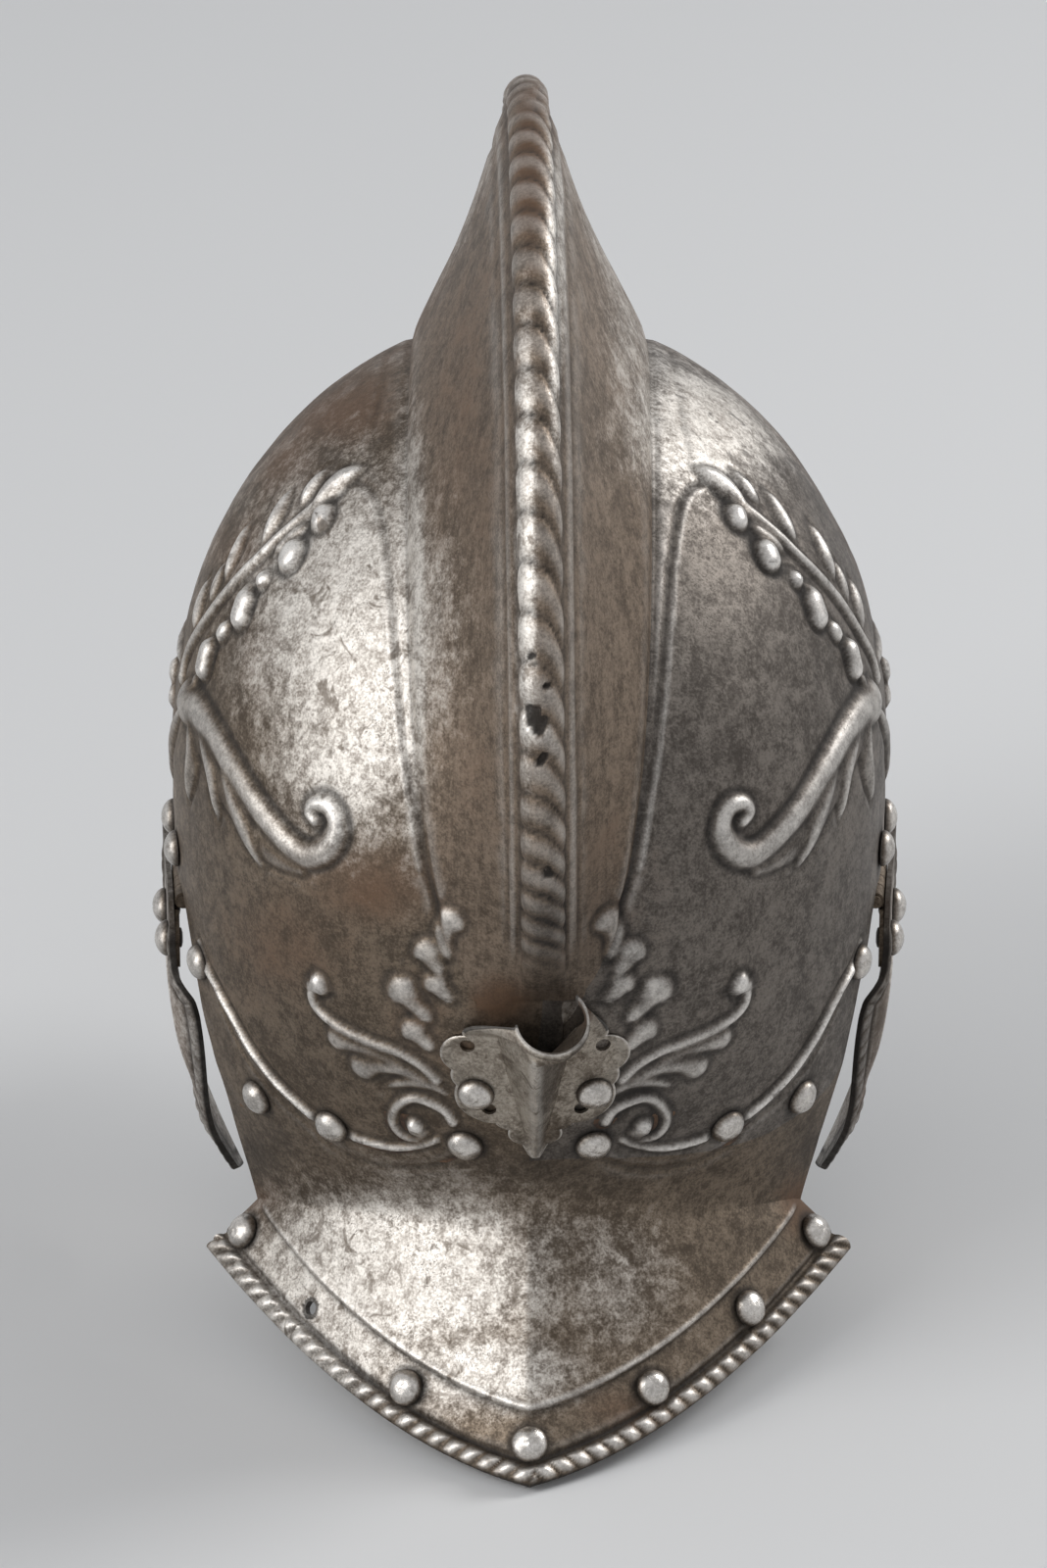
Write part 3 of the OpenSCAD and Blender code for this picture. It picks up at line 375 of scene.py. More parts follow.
@dataclass(frozen=True)
class SkullForm:
    """The surface of bowl, comb, peak and neck guard, from named sizes."""

    half_w: float = 97.0
    back_len: float = 118.0
    front_len: float = 116.0
    rise: float = 114.0
    plate: float = 1.6
    nape_z: float = 91.0
    nape_in: float = 25.0
    side_in: float = 2.5
    keel_h: float = 4.0
    keel_w: float = 30.0
    comb_rise: float = 68.0
    comb_half_w: float = 32.5
    comb_end_w: float = 9.0
    crest_r: float = 6.0
    comb_back_end: float = 11.0
    comb_front_end: float = 8.0
    comb_lean: float = 3.6
    comb_widest: float = 70.0
    brow_z: float = 28.0
    ear_z: float = 33.0
    temple_y: float = 60.0
    ear_back_y: float = 25.0
    corner_z: float = 118.0
    corner_y: float = 46.0
    rib_z: float = 67.0
    rib_sag: float = 13.0
    guard_tip_y: float = 142.0
    guard_tip_z: float = 153.0
    guard_half_w: float = 88.0
    guard_corner_y: float = 47.0
    guard_corner_z: float = 133.0
    guard_hollow: float = 3.0
    guard_point: float = 0.42
    guard_droop: float = 1.8
    border_w: float = 20.0
    border_step: float = 1.0
    fall_tip_y: float = 170.0
    fall_tip_z: float = 20.0
    fall_half_w: float = 84.0
    fall_corner_y: float = 66.0
    fall_corner_z: float = 32.0
    fall_point: float = 0.35
    fall_droop: float = 1.0
    fall_arch: float = 2.0
    edge_r: float = 2.2
    nape_angle: float = -45.0
    brow_angle: float = 192.0

    def half_x(self, z: Array) -> Array:
        """Returns half the width of the bowl at a level."""
        z = np.asarray(z, float)
        above = self.half_w * dome(z / self.rise)
        return np.where(z >= 0, above, self.half_w - self.side_in * (z / self.nape_z) ** 2)

    def half_y(self, y: Array, z: Array) -> Array:
        """Returns half the depth of the bowl at a level, on y's side of it."""
        y, z = np.asarray(y, float), np.asarray(z, float)
        full = np.where(y < 0, self.front_len, self.back_len)
        above = full * dome(z / self.rise)
        below = np.where(y < 0, full, full - self.nape_in * (z / self.nape_z) ** 2)
        return np.where(z >= 0, above, below)

    def keel(self, x: Array, z: Array) -> Array:
        """Returns how far the keel of the nape stands out."""
        share = np.maximum(0, 1 - np.abs(x) / self.keel_w) ** 2
        return self.keel_h * ramp(-2 * np.asarray(z) / self.nape_z - 1) * share

    def side_wall(self, y: Array, z: Array) -> Array:
        """Returns the wall's points on the left, at places of the side view."""
        x = self.half_x(z) * dome(y / self.half_y(y, z))
        return np.stack(np.broadcast_arrays(x, y, z), -1)

    def back_wall(self, x: Array, z: Array) -> Array:
        """Returns the wall's points on the back, at places of the back view."""
        y = self.half_y(1.0, z) * dome(x / self.half_x(z)) + self.keel(x, z)
        return np.stack(np.broadcast_arrays(x, y, z), -1).astype(float)

    def front_wall(self, x: Array, z: Array) -> Array:
        """Returns the wall's points on the front, at places of the front view."""
        y = -self.half_y(-1.0, z) * dome(x / self.half_x(z))
        return np.stack(np.broadcast_arrays(x, y, z), -1).astype(float)

    def _normal(self, wall: Callable[[Array, Array], Array], a: Array, b: Array, sign: float) -> Array:
        """Returns the outward normal of a wall at places of its own view."""
        da = wall(a + 0.5, b) - wall(a - 0.5, b)
        db = wall(a, b + 0.5) - wall(a, b - 0.5)
        return unit(np.cross(da, db)) * sign

    def back_normal(self, x: Array, z: Array) -> Array:
        """Returns the outward normal on the back."""
        return self._normal(self.back_wall, x, z, -1.0)

    def front_normal(self, x: Array, z: Array) -> Array:
        """Returns the outward normal on the front."""
        return self._normal(self.front_wall, x, z, 1.0)

    def spine(self, t: float) -> Array:
        """Returns y and z of the middle line: 0 is the back, 90 the top."""
        if t < 0:
            z = -self.nape_z * t / self.nape_angle
            return np.array([float(self.half_y(1.0, z)), z])
        if t > 180:
            return np.array([-self.front_len, -self.brow_z * (t - 180) / (self.brow_angle - 180)])
        a = math.radians(t)
        half = self.front_len if t > 90 else self.back_len
        return np.array([half * math.cos(a), self.rise * math.sin(a)])

    def spine_out(self, t: float) -> Array:
        """Returns the direction out of the middle line at an angle."""
        d = self.spine(t + 1) - self.spine(t - 1)
        return np.array([d[1], -d[0]]) / np.linalg.norm(d)

    def comb_share(self, t: float) -> float:
        """Returns the way from an end of the comb, 0, to its top, 1."""
        first, last = -self.comb_back_end, 180 + self.comb_front_end
        return (t - first) / (90 - first) if t < 90 else (last - t) / (last - 90)

    def comb_h(self, t: float) -> float:
        """Returns the height of the comb at an angle of the middle line."""
        return self.comb_rise * math.sin(math.radians(90 * max(0.0, self.comb_share(t))))

    def comb_w(self, t: float) -> float:
        """Returns half the width of the comb's foot."""
        first, last = -self.comb_back_end, 180 + self.comb_front_end
        run = self.comb_widest - first if t < self.comb_widest else last - self.comb_widest
        s = abs(t - self.comb_widest) / run
        return self.comb_end_w + (self.comb_half_w - self.comb_end_w) * math.sqrt(max(0.0, 1 - s**2.8))

    def lean(self, t: float) -> float:
        """Returns how far the crest stands askew."""
        last = 180 + self.comb_front_end
        fade = float(ramp((t + 30) / 20) * ramp((last + 15 - t) / 20))
        return self.comb_lean * math.cos(math.radians(t)) * fade

    def rim(self, f: float) -> Array:
        """Returns y and z of the lower edge at a share of its way."""
        ear = np.array([self.ear_back_y, -self.ear_z])
        temple = np.array([-self.temple_y, -self.brow_z])
        corner = np.array([self.corner_y, -self.corner_z])
        if f < self.level_share():
            return mix(temple, ear, f / self.level_share())
        g = (f - self.level_share()) / (1 - self.level_share())
        return bezier3(ear, ear + np.array([9.0, -1.0]), corner + np.array([8.0, 34.0]), corner, g)

    def level_share(self) -> float:
        """Returns the share of the edge that runs level over the ear."""
        level = math.hypot(self.temple_y + self.ear_back_y, self.ear_z - self.brow_z)
        return level / (level + 1.1 * math.hypot(self.corner_y - self.ear_back_y, self.corner_z - self.ear_z))

    def rib_angle(self) -> float:
        """Returns the angle of the middle line at the rib."""
        return self.nape_angle * self.rib_z / self.nape_z

    def chord(self, t: float) -> tuple[Array, Array, float]:
        """Returns where a section starts and ends and how far it hangs down."""
        rib, bend = self.rib_angle(), mix(self.level_share(), 1, 0.38)
        if t > rib:
            share, hang = bend * (self.brow_angle - t) / (self.brow_angle - rib), t / rib
        else:
            share = mix(bend, 1, (rib - t) / (rib - self.nape_angle))
            hang = (t - self.nape_angle) / (rib - self.nape_angle)
        return self.spine(t), self.rim(share), self.rib_sag * float(ramp(hang))

    def on_chord(self, c: tuple[Array, Array, float], p: Array) -> Array:
        """Returns the wall's points at shares of a section."""
        s = mix(c[0], c[1], np.asarray(p)[..., None])
        return self.side_wall(s[..., 0], s[..., 1] - 4 * c[2] * p * (1 - p))

    def reach(self, c: tuple[Array, Array, float], x: Array) -> Array:
        """Returns the shares of a section at which it is x wide."""
        low, high = np.zeros_like(x), np.full_like(x, 0.6)
        for _ in range(26):
            middle = (low + high) / 2
            short = self.on_chord(c, middle)[..., 0] < x
            low, high = np.where(short, middle, low), np.where(short, high, middle)
        return (low + high) / 2


@dataclass(frozen=True)
class Columns:
    """How many columns each part of a half section has."""

    bead: int = 10
    flank: int = 36
    bowl: int = 160

    def foot(self) -> int:
        """Returns the column of the comb's foot."""
        return self.bead + self.flank

    def last(self) -> int:
        """Returns the last column, on the edge."""
        return self.bead + self.flank + self.bowl


@dataclass(frozen=True)
class Rows:
    """How many cells each stretch has, from the peak to the neck guard."""

    peak: int = 26
    front: int = 56
    back: int = 330
    bend: int = 30
    guard: int = 100

    def bowl_start(self) -> int:
        """Returns the first row of the bowl."""
        return self.peak

    def neck_start(self) -> int:
        """Returns the row at which the neck starts."""
        return self.peak + self.front + self.back

    def guard_start(self) -> int:
        """Returns the row at which the neck guard starts."""
        return self.neck_start() + self.bend

    def total(self) -> int:
        """Returns the number of cells in all."""
        return self.guard_start() + self.guard


@dataclass
class SkullGrid:
    """The fine grid of points over the whole skull, with what each row and
    column is."""

    form: SkullForm = field(default_factory=SkullForm)
    cols: Columns = field(default_factory=Columns)
    rows: Rows = field(default_factory=Rows)
    bend_from: float = 0.4
    bend_share: float = 0.2

    def __post_init__(self) -> None:
        """Builds the points and their normals."""
        form = self.form
        self.bead_angle = np.linspace(0, 90, self.cols.bead + 1)
        self.flank_share = np.arange(1, self.cols.flank + 1) / self.cols.flank
        self.bowl_share = np.arange(1, self.cols.bowl + 1) / self.cols.bowl
        front = np.linspace(form.brow_angle, 90, self.rows.front, endpoint=False)
        bend_angle = mix(form.rib_angle(), form.nape_angle, self.bend_from)
        back = np.linspace(90, bend_angle, self.rows.back + 1)
        self.angles = np.concatenate([front, back])
        bowl = [self._bowl_row(t) for t in self.angles]
        nape, brow, start = (self.half_section(t)[0] for t in (form.nape_angle, form.brow_angle, bend_angle))
        self.guard_edge = self._edge(
            nape, form.guard_half_w, (form.guard_tip_y, -form.guard_tip_z),
            (form.guard_corner_y, -form.guard_corner_z), form.guard_point, form.guard_droop)
        fall_edge = self._edge(
            brow, form.fall_half_w, (-form.fall_tip_y, -form.fall_tip_z),
            (-form.fall_corner_y, -form.fall_corner_z), form.fall_point, form.fall_droop)
        self.nape = nape
        run = length_of(self.guard_edge - nape)
        first = self.bend_share * np.maximum(0.12, 1 - form.border_w / run)
        peak = []
        for w in np.linspace(1, 0, self.rows.peak, endpoint=False):
            p = mix(brow, fall_edge, w)
            p[:, 2] += form.fall_arch * w * (1 - w)
            peak.append(self._whole(p))
        bend_end = self._guard_at(nape, run, first)
        shares = np.linspace(0, 1, self.rows.bend + 1)[1:]
        bend = [self._whole(bezier2(start, nape, bend_end, f)) for f in shares]
        guard = []
        for f in np.linspace(0, 1, self.rows.guard + 1)[1:]:
            guard.append(self._whole(self._guard_at(nape, run, mix(first, 1.0, f))))
        self.points = np.stack(peak + bowl + bend + guard)
        self.normals = grid_normals(self.points)
        assert self.points.shape[:2] == (self.rows.total() + 1, 2 * self.cols.last() + 1)

    def half_section(self, t: float) -> tuple[Array, Array]:
        """Works out a half section of the bowl.

        Args:
            t: its angle on the middle line, in degrees.

        Returns:
            Its points from crest to edge, and each one's share of the lean.
        """
        form = self.form
        c, out = form.chord(t), form.spine_out(t)
        h, w = form.comb_h(t), form.comb_w(t)
        bead = min(form.crest_r, h / 2)
        x = np.concatenate([
            form.crest_r * np.sin(np.radians(self.bead_angle)), mix(form.crest_r, w, self.flank_share)])
        p = form.reach(c, x)
        p[0] = 0.0
        s = self.flank_share
        curve = 1 - s - 0.75 * s * (1 - s) ** 1.7
        lift = np.concatenate([h - bead * (1 - np.cos(np.radians(self.bead_angle))), (h - bead) * curve])
        foot = math.acos(1 - float(form.reach(c, np.array([w]))[0]))
        q = 1 - np.cos(mix(foot, math.pi / 2, self.bowl_share))
        share = np.concatenate([p, q])
        points = form.on_chord(c, share)
        lift = np.concatenate([lift, np.zeros(self.cols.bowl)])
        points[:, 1] += out[0] * lift + np.where(points[:, 1] > 0, form.keel(points[:, 0], points[:, 2]), 0)
        points[:, 2] += out[1] * lift
        lean = np.concatenate([np.ones(self.cols.bead + 1), 1 - s, np.zeros(self.cols.bowl)])
        return points, lean

    def _bowl_row(self, t: float) -> Array:
        """Returns a whole row of the bowl, with the crest askew."""
        half, lean = self.half_section(t)
        shift = np.zeros_like(half)
        shift[:, 0] = self.form.lean(t) * lean
        right = (flipped(half) - shift)[:0:-1]
        return np.concatenate([right, half - shift])

    def _whole(self, half: Array) -> Array:
        """Returns a row from the right edge to the left edge."""
        return np.concatenate([flipped(half)[:0:-1], half])

    def _edge(self, line: Array, half: float, tip: Pair, corner: Pair, pointed: float, droop: float) -> Array:
        """Returns the edge of a flange for the columns of its first line."""
        f = line[:, 0] / line[-1, 0]
        y = mix(tip[0], corner[0], pointed * f + (1 - pointed) * f * f)
        return np.stack([f * half, y, mix(tip[1], corner[1], f**droop)], 1)

    def _guard_at(self, nape: Array, run: Array, w: Array) -> Array:
        """Returns a half row of the neck guard at shares of its width."""
        w = np.broadcast_to(w, run.shape)[:, None]
        hollow = self.form.guard_hollow * 4 * w * (1 - w) * (run[:, None] / 80) ** 2
        return mix(nape, self.guard_edge, w) + hollow * np.array([0.0, -1.0, -0.6])


class Cut(Enum):
    """Cross-sections of a line in the relief."""

    BEAD = "round and raised"
    LEAF = "raised, with a ridge, pointed at both ends"
    BALL = "a raised knob"
    GROOVE = "sunk"


BEAD, LEAF, BALL, GROOVE = Cut


@dataclass(frozen=True)
class Chase:
    """One line of the relief on the pattern sheet.

    The sheet lies square to the view from behind, and its points are counted
    from its upper left corner in steps of a fixed size."""

    cut: Cut
    points: tuple[Pair, ...]
    width: float
    height: float
    taper: Pair = (1.0, 1.0)


@dataclass(frozen=True)
class PatternSheet:
    """The sheet on which the relief is drawn, and its place behind the skull."""

    steps_per_mm: float = 3.75
    middle: Pair = (540.0, 750.0)
    elevation: float = 25.0
    distance: float = 2300.0

    def seen(self, points: Array) -> Array:
        """Returns where points of the frame lie on the sheet."""
        e = math.radians(self.elevation)
        near = points[..., 1] * math.cos(e) + points[..., 2] * math.sin(e)
        k = self.distance / (self.distance - near) * self.steps_per_mm
        up = points[..., 2] * math.cos(e) - points[..., 1] * math.sin(e)
        return np.stack([self.middle[0] - points[..., 0] * k, self.middle[1] - up * k], -1)

    def toward(self) -> Array:
        """Returns the direction from the skull to the sheet's viewer."""
        e = math.radians(self.elevation)
        return np.array([0.0, math.cos(e), math.sin(e)])

    def opposite(self, points: tuple[Pair, ...]) -> tuple[Pair, ...]:
        """Returns points of the sheet, on the other side of its middle."""
        return tuple((2 * self.middle[0] - x, y) for x, y in points)


class Relief:
    """Collects the height of the chased and embossed work over a grid."""

    def __init__(self, grid: Array, normals: Array, sheet: PatternSheet) -> None:
        """Prepares the grid's places on the pattern sheet.

        Args:
            grid: points of the outer surface.
            normals: their outward normals.
            sheet: the pattern sheet.
        """
        self.grid = grid
        self.sheet = sheet
        self.flat = grid.reshape(-1, 3)
        self.shape = grid.shape[:2]
        facing = (normals.reshape(-1, 3) @ sheet.toward()) > -0.12
        self.visible = np.nonzero(facing & (self.flat[:, 1] > -40))[0]
        self.on_sheet = sheet.seen(self.flat[self.visible])
        self.raised = np.zeros(len(self.flat))
        self.sunk = np.zeros(len(self.flat))

    def place(self, point: Pair) -> Array:
        """Returns the place on the surface that lies at a point of the sheet."""
        d = np.sum((self.on_sheet - np.array(point)) ** 2, axis=1)
        near = np.argsort(d)[:3]
        w = 1 / (d[near] + 0.5)
        return (self.flat[self.visible[near]] * w[:, None]).sum(0) / w.sum()

    def chase(self, line: Chase) -> None:
        """Works one line of the pattern into the relief, on both sides."""
        for points in (line.points, self.sheet.opposite(line.points)):
            places = np.stack([self.place(p) for p in points])
            self._along(line.cut, places, line.width, line.height, line.taper)

    def _along(self, cut: Cut, places: Array, width: float, height: float, taper: Pair) -> None:
        """Works a line of one cross-section through places on the surface.

        Args:
            cut: the cross-section.
            places: places that the line goes through.
            width: half the width of the line.
            height: how far it stands out, or how deep it is.
            taper: share of the width at its two ends.
        """
        samples, share = smooth_line(places, 0.6)
        margin = width + 3.0
        low, high = samples.min(0) - margin, samples.max(0) + margin
        pick = np.nonzero(np.all((self.flat > low) & (self.flat < high), axis=1))[0]
        if not len(pick):
            return
        best, number = nearest(self.flat[pick], samples)
        part = share[number]
        if cut is LEAF:
            size = mix(taper[0], taper[1], part) * np.sin(np.pi * np.clip(part, 0.02, 0.98)) ** 0.7
        elif cut is BALL:
            size = np.ones(len(pick))
        else:
            middle = np.minimum(1, np.minimum(part, 1 - part) * 5)
            size = mix(mix(taper[0], taper[1], part), 1.0, middle * 0.6)
        half = np.maximum(width * size, 0.15)
        r = best / half
        inside = r < 1
        if cut is BALL:
            h = height * dome(r)
        elif cut is BEAD:
            h = height * size**0.5 * np.maximum(0, 1 - r**2) ** 0.8
        elif cut is LEAF:
            h = height * size**0.6 * np.maximum(0, 1 - r) ** 0.75
        else:
            h = height * np.maximum(0, 1 - r**2)
        if cut is GROOVE:
            self.sunk[pick] = np.maximum(self.sunk[pick], np.where(inside, h, 0))
        else:
            self.raised[pick] = np.maximum(self.raised[pick], np.where(inside, h, 0))
            ring = 0.6 * np.maximum(0, 1 - np.abs(best - half - 0.7) / 1.3)
            self.sunk[pick] = np.maximum(self.sunk[pick], np.where(inside, 0, ring * min(1.0, height)))

    def height(self) -> Array:
        """Returns the relief as a grid of heights."""
        return blurred(np.where(self.raised > 0.05, self.raised, -self.sunk).reshape(self.shape), 1)


SWAG: tuple[Chase, ...] = (
    Chase(BEAD, ((352, 493), (317, 520), (283, 550), (260, 573), (233, 602), (210, 634), (193, 667),
          (186, 694)), 1.9, 1.5, (0.9, 0.8)),
    Chase(LEAF, ((371, 478), (347, 491), (318, 519)), 4.4, 2.4),
    Chase(BALL, ((330, 526), (328, 530)), 3.5, 2.7),
    Chase(LEAF, ((334, 512), (318, 524), (308, 534)), 2.4, 1.4),
    Chase(BALL, ((299, 565), (297, 570)), 4.2, 3.1),
    Chase(LEAF, ((316, 534), (300, 546), (280, 564)), 3.0, 1.6),
    Chase(BALL, ((269, 591), (268, 592)), 2.5, 1.9),
    Chase(BALL, ((252, 614), (247, 629)), 3.9, 2.9),
    Chase(LEAF, ((262, 596), (250, 606), (238, 624)), 2.6, 1.4),
    Chase(BALL, ((230, 642), (227, 647)), 2.4, 1.9),
    Chase(BALL, ((214, 664), (210, 681)), 3.7, 2.9),
    Chase(BALL, ((202, 693), (201, 697)), 1.9, 1.4),
    Chase(LEAF, ((333, 479), (321, 494), (306, 515)), 2.8, 1.7),
    Chase(LEAF, ((298, 500), (286, 520), (268, 554)), 3.3, 1.9),
    Chase(LEAF, ((253, 535), (243, 558), (229, 592)), 3.2, 1.9),
    Chase(LEAF, ((230, 572), (224, 588), (214, 614)), 2.5, 1.4),
    Chase(LEAF, ((214, 590), (208, 610), (199, 644)), 3.2, 1.8),
    Chase(LEAF, ((190, 628), (187, 650), (185, 676)), 2.8, 1.6),
    Chase(BALL, ((175, 678), (174, 686)), 2.8, 2.2),
)

SCROLL: tuple[Chase, ...] = (
    Chase(BEAD, ((192, 716), (206, 730), (222, 754), (239, 784), (256, 812), (275, 838), (296, 861),
          (314, 872), (332, 868), (343, 852), (343, 835), (334, 822), (322, 820), (316, 828),
          (322, 838)), 4.4, 2.4, (1.5, 0.4)),
    Chase(BEAD, ((198, 728), (210, 762), (228, 800), (250, 836), (278, 868), (306, 884)),
          5.4, 1.1, (1.0, 0.5)),
    Chase(LEAF, ((228, 776), (246, 826), (266, 884)), 5.4, 2.4, (1.4, 0.9)),
    Chase(LEAF, ((206, 738), (218, 784), (223, 836)), 4.8, 2.2, (1.4, 0.9)),
    Chase(LEAF, ((195, 726), (197, 766), (193, 816)), 4.2, 2.0, (1.4, 0.9)),
    Chase(LEAF, ((186, 720), (181, 752), (176, 794)), 3.4, 1.7),
    Chase(BALL, ((174, 706), (173, 712)), 2.4, 1.6),
)

LOWER_SCROLL: tuple[Chase, ...] = (
    Chase(BEAD, ((318, 1004), (320, 1022), (330, 1036), (352, 1050), (378, 1062), (406, 1073),
          (430, 1087), (446, 1102)), 1.5, 1.3, (1.2, 1.0)),
    Chase(BALL, ((325, 1002), (327, 1006)), 2.7, 2.2),
    Chase(BEAD, ((345, 1060), (362, 1066), (390, 1076), (418, 1092)), 2.2, 1.0, (1.7, 0.5)),
    Chase(BEAD, ((371, 1089), (388, 1087), (414, 1092), (440, 1106)), 2.5, 1.1, (1.7, 0.5)),
    Chase(LEAF, ((392, 1110), (416, 1104), (440, 1108), (460, 1120)), 2.2, 1.2, (0.8, 1.0)),
    Chase(BEAD, ((462, 1146), (454, 1134), (438, 1125), (420, 1121), (405, 1129), (400, 1143),
          (408, 1157), (424, 1162), (437, 1156)), 1.7, 1.5, (0.9, 0.5)),
    Chase(BALL, ((424, 1148), (425, 1151)), 2.6, 2.3),
    Chase(GROOVE, ((327, 1162), (355, 1179), (382, 1189), (410, 1193), (442, 1190), (470, 1180)),
          1.3, 0.7),
)

LEAF_CLUSTER: tuple[Chase, ...] = (
    Chase(BEAD, ((460, 940), (453, 951), (453, 964), (459, 980)), 2.9, 1.2, (1.5, 0.2)),
    Chase(BEAD, ((438, 973), (443, 982), (452, 995)), 2.9, 1.2, (1.7, 0.2)),
    Chase(BEAD, ((446, 1005), (453, 1013), (462, 1023)), 2.6, 1.0, (1.6, 0.2)),
    Chase(BEAD, ((411, 1012), (420, 1021), (431, 1033), (440, 1043)), 3.1, 1.3, (1.7, 0.2)),
    Chase(BEAD, ((424, 1053), (432, 1061), (442, 1071)), 2.7, 1.1, (1.7, 0.2)),
    Chase(GROOVE, ((462, 905), (447, 940), (430, 970), (404, 1004)), 1.1, 0.35),
)

COMB_BAND: tuple[Chase, ...] = (
    Chase(GROOVE, ((364, 492), (378, 499), (388, 522), (395, 570), (400, 623), (405, 690), (412, 757),
          (422, 823), (434, 890), (446, 925)), 1.0, 0.85),
    Chase(BEAD, ((360, 498), (372, 503), (382, 524), (389, 570), (394, 623), (399, 690), (406, 757),
          (416, 823), (427, 886)), 1.0, 0.25),
    Chase(GROOVE, ((376, 468), (383, 428), (392, 388), (398, 358)), 0.9, 0.55),
)

RIB: tuple[Chase, ...] = (
    Chase(BEAD, ((203, 962), (213, 988), (224, 1008), (238, 1036), (257, 1070), (280, 1101), (304, 1125),
          (330, 1147), (360, 1160), (385, 1168), (408, 1171), (432, 1168), (446, 1163)),
          1.45, 1.8, (0.8, 0.7)),
    Chase(GROOVE, ((226, 1026), (245, 1068), (270, 1104), (300, 1134), (326, 1156)), 1.6, 0.5),
)


class Tint(Enum):
    """What a patch of the surface is like."""

    RUST = "rust"
    BURNISH = "burnish"
    SOOT = "soot"


@dataclass(frozen=True)
class Patch:
    """An area of the pattern sheet where the steel has changed its colour, or where a highlight or a shade is
    painted into it.
    """

    middle: Pair
    spread: Pair
    amount: float

    def share(self, on_sheet: Array) -> Array:
        """Returns the patch's share at places of the sheet."""
        d = (on_sheet - np.array(self.middle)) / np.array(self.spread)
        return self.amount * np.exp(-np.sum(d**2, axis=-1))


PATCHES: dict[Tint, tuple[Patch, ...]] = {
    Tint.RUST: (
        Patch((340, 410), (75, 55), 0.95),
        Patch((290, 470), (70, 50), 0.6),
        Patch((385, 905), (85, 50), 0.62),
        Patch((290, 960), (90, 70), 0.5),
        Patch((270, 660), (45, 60), 0.45),
        Patch((478, 430), (60, 260), 0.4),
        Patch((480, 800), (45, 200), 0.3),
        Patch((510, 1020), (34, 26), 1.0),
        Patch((470, 1078), (26, 20), 0.7),
        Patch((540, 170), (18, 110), 1.0),
        Patch((625, 480), (40, 180), 0.1),
        Patch((815, 1225), (26, 40), 0.9),
        Patch((265, 1225), (40, 30), 0.55),
        Patch((640, 1440), (60, 30), 0.6),
        Patch((240, 560), (50, 50), 0.5),
        Patch((620, 900), (60, 120), 0.35),
        Patch((430, 1040), (40, 60), 0.45),
    ),
    # Bright places: polished steel, and painted highlights where the lamps show on the metal in the view from
    # behind.
    Tint.BURNISH: (
        Patch((350, 640), (105, 170), 0.95),
        Patch((350, 770), (85, 100), 0.8),
        Patch((330, 1375), (110, 60), 0.8),
        Patch((418, 640), (20, 210), 1.0),
        Patch((400, 1300), (175, 90), 1.0),
        Patch((480, 1400), (110, 45), 0.85),
        Patch((620, 1310), (90, 90), 0.4),
        Patch((720, 430), (85, 75), 1.0),
        Patch((535, 560), (12, 240), 0.95),
        Patch((568, 260), (9, 190), 1.0),
        Patch((640, 330), (30, 120), 0.45),
    ),
    # Dark places: painted shade below the rib, above the plume holder's mouth and where the neck turns in,
    # together with some dark stains.
    Tint.SOOT: (
        Patch((560, 960), (30, 70), 0.7),
        Patch((600, 960), (40, 70), 0.4),
        Patch((545, 1195), (150, 22), 0.45),
        Patch((650, 1130), (50, 40), 0.3),
        Patch((255, 1180), (30, 30), 0.7),
        Patch((830, 1170), (30, 30), 0.6),
    ),
}


UNSEEN: dict[Tint, Pair] = {Tint.RUST: (0.42, 1.0), Tint.BURNISH: (0.35, -1.0), Tint.SOOT: (0.1, 0.3)}


def tints(sheet: PatternSheet, points: Array, normals: Array) -> dict[str, Array]:
    """Works out the browned areas, the bright areas with their painted highlights and the sooty areas with
    their painted shade, of a grid.

    Args:
        sheet: the pattern sheet.
        points: points of the surface.
        normals: their outward normals.

    Returns:
        A grid of shares for each tint, by the tint's value.
    """
    on_sheet = sheet.seen(points)
    seen = ramp((normals @ sheet.toward() + 0.05) / 0.3) * ramp((points[..., 1] + 30) / 40)
    away = 1 - seen
    drift = lattice_noise(points, 46.0, 7)
    out = {}
    for tint, patches in PATCHES.items():
        total = np.zeros(points.shape[:-1])
        for patch in patches:
            total = np.maximum(total, patch.share(on_sheet))
        base, change = UNSEEN[tint]
        out[tint.value] = np.clip(total * seen + away * (base + 0.3 * change * drift), 0, 1)
    return out


